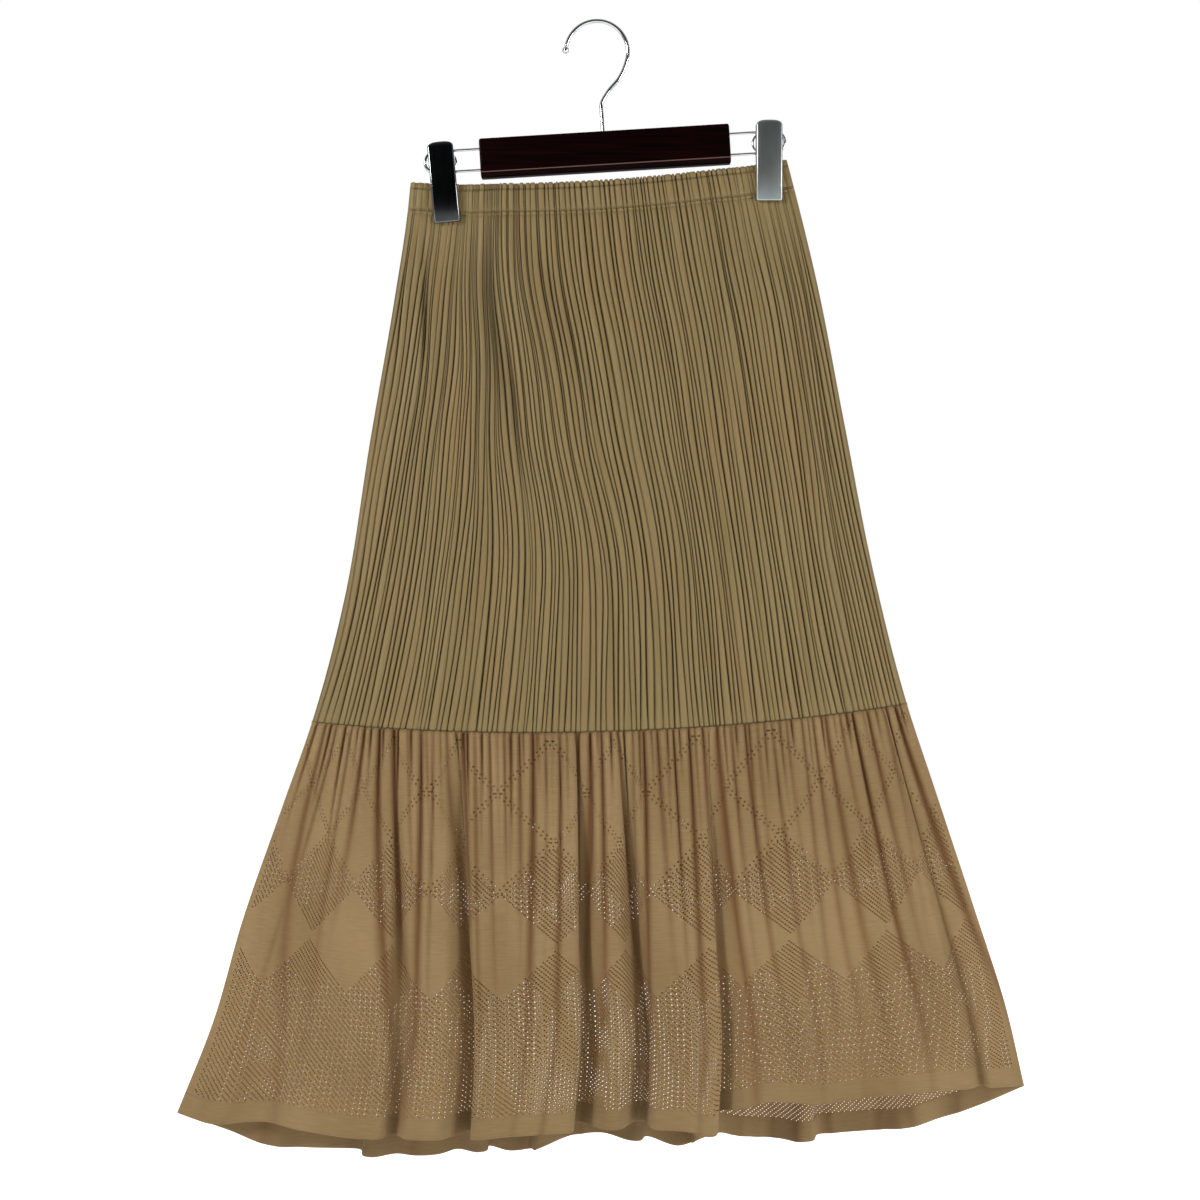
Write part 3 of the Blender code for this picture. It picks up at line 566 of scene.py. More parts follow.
def thread_material(name, dark, light):
    """Spun polyester thread: matt, with a slight change of shade from stitch to stitch."""
    material, tree = new_material(name)
    place = add_node(tree, "TexCoord").outputs["Object"]
    drift = add_node(tree, "TexNoise", {"Scale": 300.0, "Detail": 1.0, "Vector": place})
    colour = add_node(tree, "Mix", {6: linear(dark), 7: linear(light), 0: drift}, data_type="RGBA")
    surface = add_node(tree, "BsdfPrincipled", {"Roughness": 0.7, "Base Color": colour.outputs[2]})
    add_node(tree, "OutputMaterial", {"Surface": surface})
    return material


brown_thread = thread_material("brown polyester thread", "4c3a1e", "65502c")
for side, word in SIDES:
    rows = []
    for line in WAIST_STITCHING:
        points, _ = pleated_points(
            side, np.array([line.down]), line.off, line.ridge * line.pleat, line.valley * line.pleat)
        rows.append(points[0])
    make_stitches("waist_stitches_" + word, rows, side, brown_thread)

# The flounce. Two panels of thin sand voile, gathered into the seam, that fall in deep folds. The cloth is
# pierced with small holes, in a zigzag band over the hem and a lattice of diamonds above it, and its lower
# edge is turned up inside by 20 mm.

# A deep fold grows from nothing at the seam to its depth at the hem, where it is widest; it stays clear of
# the middle plane, and gets painted shade by a share of its depth
FOLD_GROWTH = 0.65
FOLD_NARROWING = 0.45
FOLD_CLEARANCE = 1.0
FOLD_PAINTED_SHADE = 0.1
DEEPEST_FOLD = 27.0
Trough = namedtuple("Trough", "name seam_x hem_x half_width depth lean")
FRONT_TROUGHS = (
    Trough("left swing", -224.0, -300.0, 26.0, 10.0, 0.0),
    Trough("first valley", -171.0, -175.0, 9.0, 14.0, -4.0),
    Trough("deep slit", -122.0, -123.0, 10.0, 27.0, 13.0),
    Trough("recess left of the tube", -14.0, -6.0, 11.0, 26.0, -12.0),
    Trough("recess right of the tube", 23.0, 34.0, 11.0, 25.0, 3.0),
    Trough("stepped edge", 98.0, 116.0, 9.0, 19.0, -13.0),
    Trough("right swing", 188.0, 225.0, 24.0, 6.0, 0.0),
    Trough("last valley", 252.0, 334.0, 7.0, 10.0, 4.0),
)
BACK_TROUGHS = (
    Trough("left swing", -220.0, -296.0, 22.0, 9.0, 4.0),
    Trough("left fold", -168.0, -196.0, 12.0, 18.0, -8.0),
    Trough("second fold", -108.0, -112.0, 11.0, 24.0, 10.0),
    Trough("middle fold", -45.0, -42.0, 13.0, 22.0, -9.0),
    Trough("wide fold", 16.0, 25.0, 15.0, 24.0, 8.0),
    Trough("narrow fold", 78.0, 98.0, 10.0, 22.0, -9.0),
    Trough("right fold", 150.0, 178.0, 15.0, 18.0, 9.0),
    Trough("right swing", 222.0, 282.0, 20.0, 10.0, -5.0),
)

# Gathers: valleys in the cloth below the seam, every second one short. Each is shifted from its place by a
# share of their pitch, drifts aside on its way down, and has a share of its kind's depth and width.
GATHERS = 86
GATHER_SHIFT = 0.3
GATHER_DRIFT = 9.0
GATHER_DEPTH = (0.4, 1.0)
GATHER_WIDTH = (0.75, 1.3)
# How deep a gather's valley is where its painted shade is full
GATHER_FULL_SHADE_DEPTH = 3.2
GatherKind = namedtuple("GatherKind", "name depth width widening shortest longest")
GATHER_KINDS = (
    GatherKind("long gathers", 6.4, 1.5, 2.4, 110.0, 400.0),
    GatherKind("short gathers", 5.6, 1.3, 0.8, 24.0, 100.0),
)

# The pierced pattern, in cells of the cloth. A hole is a small square in the middle of its cell, and its size
# a share of the cell. The back's holes are smaller and shrink towards the sides, as light shows through both
# layers mostly in the middle. The zigzag's foot, the diamonds and the gap between their tips are counted in
# rows of cells over the hem's edge, and the first zigzag's place in columns from the left seam.
CELL_HEIGHT = 1.55
FRONT_HOLE = 0.8
BACK_HOLE_BESIDE = 0.36
BACK_HOLE_MIDDLE = 0.58
BACK_HOLE_SPREAD = 110.0
# The painted shade added round each hole's rim
HOLE_RIM_PAINTED_SHADE = 0.5
SIDE_SEAM_CELLS = 4
HALF_DIAMOND = 27
DIAMONDS = 9.06
FIRST_ZIGZAG = {FRONT: 22, BACK: 49}
HEM_CELLS = 13
ZIGZAG_FOOT = 81
TIP_GAP = 2
SLANT_PITCH = 3
OUTLINE_CELLS = (0, 3)
SEAM_CELLS = 3
HEM_TURN = 20.0


def flounce_row(seam_x, down, side):
    """The flounce's form: x, the x before it is folded, the distance off the middle plane and the folds'
    painted shade.

    Each deep fold is a trough of the shape exp(-|distance / reach| ** 3), carried sideways by its lean.
    """
    troughs = FRONT_TROUGHS if side == FRONT else BACK_TROUGHS
    seam_ends = SEAM_SECTION.left_x, SEAM_SECTION.right_x
    hem_ends = HEM_SECTION.left_x, HEM_SECTION.right_x
    seam_places = [seam_ends[0]] + [trough.seam_x for trough in troughs] + [seam_ends[1]]
    hem_places = [hem_ends[0]] + [trough.hem_x for trough in troughs] + [hem_ends[1]]
    hem_x = smooth_through(seam_x, seam_places, hem_places)
    left, right = section_value("left_x", down), section_value("right_x", down)
    widened = ((right - left) - (seam_ends[1] - seam_ends[0])) / (
        (hem_ends[1] - hem_ends[0]) - (seam_ends[1] - seam_ends[0]))

    def between(at_seam, at_hem):
        return at_seam * (1 - widened) + at_hem * widened

    mixed = between(seam_x, hem_x)
    mixed_left, mixed_right = between(seam_ends[0], hem_ends[0]), between(seam_ends[1], hem_ends[1])
    plain_x = left + (right - left) * (mixed - mixed_left) / (mixed_right - mixed_left)
    out = section_value("depth", down) * (1 - np.abs(across_at(plain_x, down)) ** DEPTH_FALLOFF)
    grown = np.clip((down - FLOUNCE_SEAM) / (HEM - FLOUNCE_SEAM), 0, 1) ** FOLD_GROWTH
    x = plain_x.copy()
    folded = np.zeros(x.shape)
    for trough in troughs:
        centre = between(trough.seam_x, trough.hem_x)
        reach = trough.half_width * (FOLD_NARROWING + (1 - FOLD_NARROWING) * widened)
        shape = np.exp(-np.abs((mixed - centre) / reach) ** 3)
        out = out - np.minimum(trough.depth * grown * shape, np.maximum(out - FOLD_CLEARANCE, 0))
        x = x + trough.lean * grown * shape
        # Painted shade in the fold, by a share of its depth
        folded = np.maximum(folded, FOLD_PAINTED_SHADE * shape * grown * trough.depth / DEEPEST_FOLD)
    return x, plain_x, out, folded


def even_columns(side):
    """Places along the seam whose columns are a cell apart in the cloth at the hem, and the cell's width."""
    seam_x = np.linspace(SEAM_SECTION.left_x, SEAM_SECTION.right_x, 3001)
    x, _, out, _ = flounce_row(seam_x, np.full(seam_x.shape, HEM), side)
    length = np.concatenate([[0], np.cumsum(np.hypot(np.diff(x), np.diff(out)))])
    cells = int(round(DIAMONDS * 2 * HALF_DIAMOND))
    return np.interp(np.linspace(0, length[-1], cells + 1), length, seam_x), length[-1] / cells


def gather_relief(side, seam_x, fall):
    """How far the cloth sinks between its gathers: valleys of the shape exp(-|distance / width| ** 1.3).

    They die out as exp(-(fall / reach) ** 1.5), drift aside as (fall / 200) ** 1.5 and widen evenly.
    """
    random = np.random.default_rng(61 if side == FRONT else 83)
    level = fall[:, None]
    relief = np.zeros((len(fall), len(seam_x)))
    pitch = (seam_x[-1] - seam_x[0]) / GATHERS
    for number in range(1, GATHERS):
        kind = GATHER_KINDS[number % 2]
        centre = seam_x[0] + pitch * (number + random.uniform(-GATHER_SHIFT, GATHER_SHIFT))
        centre = centre + random.uniform(-GATHER_DRIFT, GATHER_DRIFT) * (level / 200) ** 1.5
        reach = random.uniform(kind.shortest, kind.longest)
        depth = kind.depth * random.uniform(*GATHER_DEPTH)
        width = kind.width * random.uniform(*GATHER_WIDTH) * (1 + kind.widening * level / 350)
        relief = np.maximum(relief, depth * np.exp(-(level / reach) ** 1.5) * np.exp(
            -np.abs((seam_x - centre) / width) ** 1.3))
    return relief


def pierced(columns, rows, side):
    """Which cells hold a hole.

    The cloth is charted in diamonds as wide as they are high. Up to the zigzag every third slanting row of
    cells is pierced. A band of plain diamonds follows, a row of pierced ones, and above them plain diamonds
    with a double line of holes along each edge. The rows slant down to the right, seen from outside.
    """
    column, row = np.meshgrid(np.arange(columns) - FIRST_ZIGZAG[side], np.arange(rows))
    half, period = HALF_DIAMOND, 2 * HALF_DIAMOND
    slanting = (column - side * row) % SLANT_PITCH == 0

    def diamond_row(lift):
        up = row - (ZIGZAG_FOOT + half + lift)
        rising, falling = up - column, up + column
        return (rising + half) // period + (falling + half) // period, rising, falling

    low_row, _, _ = diamond_row(0)
    high_row, rising, falling = diamond_row(TIP_GAP)
    edges = (np.isin((rising + half) % period, OUTLINE_CELLS)
             | np.isin((falling + half) % period, OUTLINE_CELLS))
    outlined = (high_row >= 2) & edges & (row % 2 == 0)
    filled = ((low_row <= -1) | (high_row == 1)) & slanting
    beside = np.minimum(np.arange(columns), columns - 1 - np.arange(columns)) >= SIDE_SEAM_CELLS
    return (filled | outlined) & (row >= HEM_CELLS) & (row < rows - SEAM_CELLS) & beside


def pierce(points, places, painted_light, holes, side):
    """Splits each cell of a grid in two triangles, and each pierced one in eight round its hole.

    A hole's corners lie on the lines from the cell's middle to its corners, and get painted shade.
    """
    rows, columns = points.shape[:2]
    cells = grid_faces(rows, columns, side)
    plain, corners = cells[~holes.ravel()], cells[holes.ravel()]
    values = np.concatenate([points.reshape(-1, 3), places.reshape(-1, 2), painted_light.reshape(-1, 1)], axis=1)
    at_corners = values[corners]
    middle = at_corners.mean(axis=1, keepdims=True)
    share = FRONT_HOLE
    if side == BACK:
        share = BACK_HOLE_BESIDE + (BACK_HOLE_MIDDLE - BACK_HOLE_BESIDE) * np.exp(
            -(middle[..., :1] / BACK_HOLE_SPREAD) ** 2)
    rims = (middle + (at_corners - middle) * share).reshape(-1, values.shape[1])
    # Painted shade round each hole's rim
    rims[:, 5] = np.minimum(rims[:, 5] + HOLE_RIM_PAINTED_SHADE, 1.0)
    rim = len(values) + np.arange(len(corners) * 4).reshape(-1, 4)
    triangles = [plain[:, [0, 1, 2]], plain[:, [0, 2, 3]]]
    for k in range(4):
        after = (k + 1) % 4
        triangles.append(np.stack([corners[:, k], corners[:, after], rim[:, k]], axis=-1))
        triangles.append(np.stack([corners[:, after], rim[:, after], rim[:, k]], axis=-1))
    values = np.concatenate([values, rims])
    return values[:, :3], values[:, 3:5], values[:, 5], np.concatenate(triangles)


# Cotton-blend voile: thin, soft and matt. Light comes through it and turns a warm brown where it passes
# two layers, and painted shade makes the deep folds, the gathers' valleys and the holes' rims darker and
# redder than the panels between them.
VOILE_LIGHT = "987f58"
VOILE_DARK = "836b46"
# The colour of the painted shade in the folds, the gathers' valleys and round the holes
VOILE_PAINTED_SHADE = "5f3a16"
VOILE_THROUGH = "b07a3e"

voile, tree = new_material("perforated sand voile")
place = add_node(tree, "UVMap", uv_map="cloth")
patch_place = add_node(tree, "Mapping", {"Scale": (14, 8, 1), "Vector": place})
patches = add_node(tree, "TexNoise", {"Scale": 1.0, "Detail": 3.0, "Vector": patch_place})
yarn_place = add_node(tree, "Mapping", {"Scale": (60, 900, 1), "Vector": place})
yarns = add_node(tree, "TexNoise", {"Scale": 1.0, "Detail": 2.0, "Vector": yarn_place})
mixed_shade = add_node(tree, "Mix", {"Factor": 0.4, 2: patches, 3: yarns}, data_type="FLOAT")
shade = add_node(tree, "MapRange", {"From Min": 0.35, "From Max": 0.65, "Value": mixed_shade})
colour = add_node(tree, "Mix", {6: linear(VOILE_DARK), 7: linear(VOILE_LIGHT), 0: shade}, data_type="RGBA")
# Painted shade: the attribute darkens the voile towards a warm brown
folded = add_node(tree, "Attribute", attribute_name="painted_light").outputs["Fac"]
fold_shade_share = add_node(tree, "MapRange", {"From Min": 0.1, "From Max": 1.0, "To Max": 0.8, "Value": folded})
with_painted_shade = add_node(
    tree, "Mix", {7: linear(VOILE_PAINTED_SHADE), 0: fold_shade_share, 6: colour.outputs[2]}, data_type="RGBA")
threads = add_node(tree, "Mapping", {"Scale": THREADS_IN_METRE, "Vector": place})
weave = add_node(tree, "TexChecker", {"Scale": 1.0, "Vector": threads})
fine = add_node(tree, "Mix", {"Factor": 0.6, 2: weave.outputs["Fac"], 3: yarns}, data_type="FLOAT")
relief = add_node(tree, "Bump", {"Strength": 0.35, "Distance": 0.0003, "Height": fine})
surface = add_node(
    tree, "BsdfPrincipled",
    {"Roughness": 0.75, "Specular IOR Level": 0.25, "Sheen Weight": 0.08, "Sheen Roughness": 0.5,
     "Base Color": with_painted_shade.outputs[2], "Normal": relief})
through = add_node(tree, "BsdfTranslucent", {"Color": linear(VOILE_THROUGH)})
cloth = add_node(tree, "MixShader", {"Fac": 0.14, 1: surface, 2: through})
add_node(tree, "OutputMaterial", {"Surface": cloth})

# The cloth's rows, from the turned-up edge inside the hem, round the hem and up to 2 mm over the seam's line.
# The gathers push it out below the seam, less and less further down, and its top edge is tucked in there.
# Each panel is split in two pieces in the middle of a deep fold.
TURN_STEP = 2.5
TURN_INSIDE = 0.55
OVER_SEAM = 2.0
FLOUNCE_OFF = 1.0
PUFF = 3.6
PUFF_FADE = 170
FLOUNCE_TUCK = 0.6
FLOUNCE_RELIEF_FALLOFF = 60
SPLIT = {FRONT: -14.0, BACK: -45.0}
turn_up = np.arange(HEM_TURN, 0.5, -TURN_STEP)
cell_rows = int((HEM - FLOUNCE_SEAM - 0.4) / CELL_HEIGHT)
cell_lines = CELL_HEIGHT * np.arange(1, cell_rows + 1)
top_line = [HEM - FLOUNCE_SEAM + OVER_SEAM]
above_hem = np.concatenate([turn_up, [0.25, 0.0, 0.4], cell_lines, top_line])
run_up = np.concatenate([-turn_up, [-0.4, 0.0, 0.4], cell_lines, top_line])
first_cell = len(turn_up) + 2
inside_turn = np.zeros(len(above_hem))
inside_turn[:first_cell - 1] = -TURN_INSIDE
inside_turn[first_cell - 1] = -0.25
pale_thread = thread_material("sand polyester thread", "8a7048", "a48a60")
for side, word in SIDES:
    seam_x, cell_width = even_columns(side)
    down = np.minimum(HEM - above_hem, HEM)
    level = np.broadcast_to(down[:, None], (len(down), len(seam_x)))
    x, plain_x, out, folded = flounce_row(
        np.broadcast_to(seam_x, level.shape), np.maximum(level, FLOUNCE_SEAM), side)
    form = np.stack([x, side * out, height_at(plain_x, level, side)], axis=-1)
    fall = down - FLOUNCE_SEAM
    gathers = gather_relief(side, seam_x, np.maximum(fall, 0))
    tucked = (1 - ease(fall, -OVER_SEAM, 1.5))[:, None]
    puff = PUFF * np.exp(-np.maximum(fall, 0) / PUFF_FADE)[:, None]
    proud = (FLOUNCE_OFF + puff - gathers) * (1 - tucked) - FLOUNCE_TUCK * tucked + inside_turn[:, None]
    beside = np.abs(2 * (seam_x - seam_x[0]) / (seam_x[-1] - seam_x[0]) - 1)
    proud = np.maximum(proud, 0.5 - out) * (1 - beside ** FLOUNCE_RELIEF_FALLOFF)
    points = form + outward(form, side) * proud[..., None]
    cloth_x = cell_width * np.arange(len(seam_x))
    places = np.stack(np.meshgrid(cloth_x, run_up + HEM_TURN + 2), axis=-1)
    # Painted shade in the deep folds and in the gathers' valleys
    painted_light = np.clip(np.maximum(folded, (gathers / GATHER_FULL_SHADE_DEPTH) ** 1.4), 0, 1)
    holes = np.zeros((len(down) - 1, len(seam_x) - 1), dtype=bool)
    holes[first_cell:first_cell + cell_rows] = pierced(len(seam_x) - 1, cell_rows, side)
    split = int(np.argmin(np.abs(seam_x - SPLIT[side])))
    for half, start, end in (("left", 0, split), ("right", split, len(seam_x) - 1)):
        ours = (slice(None), slice(start, end + 1))
        half_points, half_places, half_painted_light, faces = pierce(
            points[ours], places[ours], painted_light[ours], holes[:, start:end], side)
        flounce = make_piece(
            "flounce_" + word + "_" + half, half_points, faces, voile, half_places, half_painted_light)
        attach(flounce, "root")
        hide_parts("flounce_" + word)
    rows = [points[first_cell + 1], points[first_cell + HEM_CELLS - 1]]
    make_stitches("hem_stitches_" + word, rows, side, pale_thread)

# The hanger's bar. A straight bar of dark stained hardwood, lacquered, planed to a flat face that ends in
# a lower edge with a painted highlight, with the underside cut back from it. The hook is screwed into its
# top.

BAR_X = 7.0
BAR_Z = -113.7
BAR_HALF_LENGTH = 110.0
BAR_HALF_HEIGHT = 17.3
BAR_HALF_DEPTH = 7.0
BAR_TILT = math.radians(3.45)

# Half of the bar's section: distance off its middle plane, height over its centre line, and 1 on the painted
# highlight
BarPlace = namedtuple("BarPlace", "name y over wear")
BAR_HALF_SECTION = (
    BarPlace("top", 0.0, BAR_HALF_HEIGHT, 0.0),
    BarPlace("top edge", 5.0, BAR_HALF_HEIGHT, 0.0),
    BarPlace("top edge rounding", 6.4, 16.7, 0.0),
    BarPlace("top of the face", BAR_HALF_DEPTH, 15.2, 0.0),
    BarPlace("middle of the face", BAR_HALF_DEPTH, 2.0, 0.0),
    BarPlace("over the lower edge", BAR_HALF_DEPTH, -11.9, 0.0),
    BarPlace("lower edge, upper side", 6.95, -12.3, 1.0),
    BarPlace("lower edge, lower side", 6.8, -12.6, 1.0),
    BarPlace("under the lower edge", 6.6, -13.0, 0.0),
    BarPlace("underside", 5.6, -15.6, 0.0),
    BarPlace("bottom rounding", 4.6, -16.8, 0.0),
    BarPlace("bottom", 2.5, -BAR_HALF_HEIGHT, 0.0),
)

# Both ends are rounded: how far in from the end a section lies, and how much it is set in all round
BarEnd = namedtuple("BarEnd", "name from_end inset")
BAR_ENDS = (
    BarEnd("end face", 0.0, 1.8),
    BarEnd("rounding", 0.35, 0.7),
    BarEnd("rounding's edge", 1.0, 0.15),
    BarEnd("full section", 2.0, 0.0),
)


def bar_points(along, y, over):
    """Points from their distances along the bar from its centre, off its middle plane and over it."""
    return np.stack(np.broadcast_arrays(
        BAR_X + along * math.cos(BAR_TILT) - over * math.sin(BAR_TILT),
        y,
        BAR_Z + along * math.sin(BAR_TILT) + over * math.cos(BAR_TILT)), axis=-1)


def ring_faces(rings, size, closed=False):
    """Joins rings of as many points each, one after another, and caps both ends unless they close a loop."""
    index = np.arange(rings * size).reshape(rings, size)
    near, far = (index, np.roll(index, -1, axis=0)) if closed else (index[:-1], index[1:])
    faces = np.stack([near, np.roll(near, -1, axis=1), np.roll(far, -1, axis=1), far], axis=-1)
    caps = [] if closed else [tuple(index[0][::-1].tolist()), tuple(index[-1].tolist())]
    return faces.reshape(-1, 4).tolist() + caps


def make_solid(name, rings, material, node, closed=False, painted_light=None):
    """A closed piece from rings of points along a path, in place of a node of the hanger.

    Its faces are turned round if they face inwards, and edges sharper than 38 degrees stay sharp.
    """
    made = make_piece(name, rings, ring_faces(*rings.shape[:2], closed), material, painted_light=painted_light)
    volume = bpy.data.meshes[name]
    corners = np.empty(len(volume.vertices) * 3)
    volume.vertices.foreach_get("co", corners)
    centre = corners.reshape(-1, 3).mean(axis=0)
    normals, middles, areas = (np.empty(len(volume.polygons) * size) for size in (3, 3, 1))
    volume.polygons.foreach_get("normal", normals)
    volume.polygons.foreach_get("center", middles)
    volume.polygons.foreach_get("area", areas)
    outflow = (normals.reshape(-1, 3) * (middles.reshape(-1, 3) - centre)).sum(axis=1) * areas
    if outflow.sum() < 0:
        volume.flip_normals()
    volume.set_sharp_from_angle(angle=math.radians(38))
    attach(made, "root")
    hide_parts(node)
    return made


# Beech stained to dark mahogany and lacquered: nearly black, with a faint red grain, and a greyish pink
# painted highlight along the lower edge. The grain's lines are 1.5 mm apart.
dark_wood, tree = new_material("dark stained lacquered beech")
place = add_node(tree, "TexCoord").outputs["Object"]
grain_place = add_node(
    tree, "Mapping", {"Scale": (14, 300, 650), "Rotation": (0, BAR_TILT, 0), "Vector": place})
grain = add_node(tree, "TexNoise", {"Scale": 1.0, "Detail": 4.0, "Distortion": 0.6, "Vector": grain_place})
stain = add_node(tree, "MapRange", {"From Min": 0.4, "From Max": 0.7, "Value": grain})
colour = add_node(tree, "Mix", {6: linear("050101"), 7: linear("140302"), 0: stain}, data_type="RGBA")
# Painted highlight: a greyish pink line along the lower edge
wear = add_node(tree, "Attribute", attribute_name="painted_light").outputs["Fac"]
with_edge_highlight = add_node(tree, "Mix", {7: linear("644b45"), 0: wear, 6: colour.outputs[2]}, data_type="RGBA")
pores = add_node(tree, "Bump", {"Strength": 0.15, "Distance": 0.0002, "Height": grain})
surface = add_node(
    tree, "BsdfPrincipled",
    {"Roughness": 0.4, "Specular IOR Level": 0.03, "Base Color": with_edge_highlight.outputs[2], "Normal": pores})
add_node(tree, "OutputMaterial", {"Surface": surface})

front_half = [(-place.y, place.over, place.wear) for place in BAR_HALF_SECTION]
back_half = [(place.y, place.over, place.wear) for place in BAR_HALF_SECTION[:0:-1]]
section = np.array(front_half + back_half)
inset = np.array([end.inset for end in BAR_ENDS + BAR_ENDS[::-1]])
along = BAR_HALF_LENGTH - np.array([end.from_end for end in BAR_ENDS])
along = np.concatenate([-along, along[::-1]])
shrink = 1 - inset[:, None] / np.array([BAR_HALF_DEPTH, BAR_HALF_HEIGHT])
rings = bar_points(along[:, None], section[:, 0] * shrink[:, :1], section[:, 1] * shrink[:, 1:])
# 1 along the lower edge, which gets the painted highlight
wear = np.broadcast_to(section[:, 2], rings.shape[:2])
make_solid("bar_wood", rings, dark_wood, "hanger_bar", painted_light=wear)

# The hook and the wires that the clips slide on. Round steel wire, bent cold and chromed; the hook ends in
# a ball, and each wire leaves the bar, turns round beyond its clip and comes back.

HOOK_WIRE = 1.75
HOOK_RADIUS = 27.3
HOOK_CENTRE_Z = HOOK_WIRE - HOOK_RADIUS
HOOK_START = math.radians(-18)
HOOK_TIP = math.radians(172)
HOOK_POINTS = 72
NECK_POINTS = 40
NECK_OVERLAP = 6
HOOK_BALL = 3.1
NeckPlace = namedtuple("NeckPlace", "name x z")
HOOK_NECK = (
    NeckPlace("foot on the bar", 5.2, -96.1),
    NeckPlace("straight stem", 4.6, -84.0),
    NeckPlace("bend", 4.2, -71.0),
    NeckPlace("after the bend", 9.5, -61.0),
    NeckPlace("slanted neck", 20.0, -48.0),
)
WIRE = 1.25
WIRE_SPREAD = 9.25
WIRE_REACH = 15.5
WIRE_STRAIGHTS = 5
WIRE_ENDS = (("left", -1, -137.0), ("right", 1, 151.2))
TOUCH_GAP = 0.3


def tube_rings(path, radii, sides, closed=False):
    """Round rings square to a path that lies in a plane of constant y."""
    path = np.asarray(path, float)
    along = np.roll(path, -1, axis=0) - np.roll(path, 1, axis=0) if closed else np.gradient(path, axis=0)
    along /= np.linalg.norm(along, axis=1, keepdims=True)
    across = np.cross(along, [0, 1, 0])
    angle = np.linspace(0, 2 * math.pi, sides, endpoint=False)[None, :, None]
    ring = np.cos(angle) * across[:, None, :] + np.sin(angle) * np.array([0, 1, 0])
    return path[:, None, :] + ring * np.asarray(radii, float)[:, None, None]


# Chrome plate over polished steel wire: a mirror that shows dark and bright bands along the wire, with the
# faint drawing lines of the wire left in it. The lines are drawn at 0.5 mm.
chrome, tree = new_material("chromed steel wire")
place = add_node(tree, "TexCoord").outputs["Object"]
lines = add_node(tree, "TexNoise", {"Scale": 2000.0, "Detail": 1.0, "Vector": place})
tint = add_node(tree, "Mix", {6: linear("b9bbbe"), 7: linear("d6d8da"), 0: lines}, data_type="RGBA")
gloss = add_node(tree, "MapRange", {"To Min": 0.07, "To Max": 0.16, "Value": lines})
surface = add_node(
    tree, "BsdfPrincipled", {"Metallic": 1.0, "Base Color": tint.outputs[2], "Roughness": gloss})
add_node(tree, "OutputMaterial", {"Surface": surface})

# The neck is a curve through its places that runs on into the hook's arc
angle = np.linspace(HOOK_START, HOOK_TIP, HOOK_POINTS)
arc = np.stack(
    [HOOK_RADIUS * np.cos(angle), 0 * angle, HOOK_CENTRE_Z + HOOK_RADIUS * np.sin(angle)], axis=1)
knots = np.array([(place.x, 0.0, place.z) for place in HOOK_NECK] + [arc[0], arc[NECK_OVERLAP]])
knot_run = np.concatenate([[0], np.cumsum(np.linalg.norm(np.diff(knots, axis=0), axis=1))])
neck_run = np.linspace(0, knot_run[-2], NECK_POINTS)[:-1]
neck = np.stack([smooth_through(neck_run, knot_run, knots[:, axis]) for axis in range(3)], axis=1)
last_step = (arc[-1] - arc[-2]) / np.linalg.norm(arc[-1] - arc[-2])
ball_angle = np.linspace(-0.38 * math.pi, 0.46 * math.pi, 14)
ball = arc[-1] + last_step * (HOOK_BALL * 0.8 + HOOK_BALL * np.sin(ball_angle))[:, None]
path = np.concatenate([neck, arc[:-1], ball])
radii = np.concatenate([np.full(len(neck) + len(arc) - 1, HOOK_WIRE), HOOK_BALL * np.cos(ball_angle)])
make_solid("hook_wire", tube_rings(path, radii, 16), chrome, "hanger_hook")

for word, direction, clip_x in WIRE_ENDS:
    start = direction * (BAR_HALF_LENGTH + TOUCH_GAP)
    turn = (clip_x - BAR_X) / math.cos(BAR_TILT) + direction * (WIRE_REACH - WIRE_SPREAD - WIRE)
    angle = np.linspace(math.pi / 2, -math.pi / 2, 25)
    straight = np.linspace(start, turn, WIRE_STRAIGHTS + 1)[:-1]
    run_out = np.concatenate([straight, turn + direction * WIRE_SPREAD * np.cos(angle), straight[::-1]])
    high = np.full(WIRE_STRAIGHTS, WIRE_SPREAD)
    path = bar_points(run_out, 0.0, np.concatenate([high, WIRE_SPREAD * np.sin(angle), -high]))
    make_solid(
        "slide_wire_" + word, tube_rings(path, np.full(len(path), WIRE), 12), chrome, "hanger_wire_" + word)

# The clips. Each has two pressed steel plates with an arched crown and a chamfered rim with a painted
# highlight, held shut by an oval loop of spring wire. The left plate mirrors the dark room, and its colour is
# painted dark as well, a painted reflection; the right one is satin.

CLIP_HALF_WIDTH = 11.5
SPRING_WIRE = 0.9
SPRING_HALF_WIDTH = 14.0
SPRING_HALF_HEIGHT = 11.0
SPRING_POINTS = 64
SPRING_Y = WIRE + TOUCH_GAP + SPRING_WIRE
JAW_INNER = 3.15
BACK_INNER = SPRING_Y + SPRING_WIRE + TOUCH_GAP
PlateRow = namedtuple("PlateRow", "name along half_width inner outer")
FRONT_PLATE = (
    PlateRow("crown's tip", 0.0, 4.6, 3.6, 4.6),
    PlateRow("crown", 0.5, 6.9, 3.0, 5.5),
    PlateRow("crown's curve", 1.3, 8.9, 2.4, 6.2),
    PlateRow("shoulder", 2.4, 10.4, 1.9, 6.7),
    PlateRow("under the shoulder", 3.8, 11.3, WIRE + TOUCH_GAP, 6.9),
    PlateRow("full width", 5.2, CLIP_HALF_WIDTH, WIRE + TOUCH_GAP, 7.0),
    PlateRow("under the wires", 27.0, CLIP_HALF_WIDTH, WIRE + TOUCH_GAP, 7.2),
    PlateRow("over the cloth", 30.0, CLIP_HALF_WIDTH, JAW_INNER, 7.2),
    PlateRow("over the foot", 70.2, CLIP_HALF_WIDTH, JAW_INNER, 6.7),
    PlateRow("foot's rim", 71.0, 11.2, JAW_INNER, 6.2),
    PlateRow("foot", 71.2, 10.9, JAW_INNER, 5.6),
)
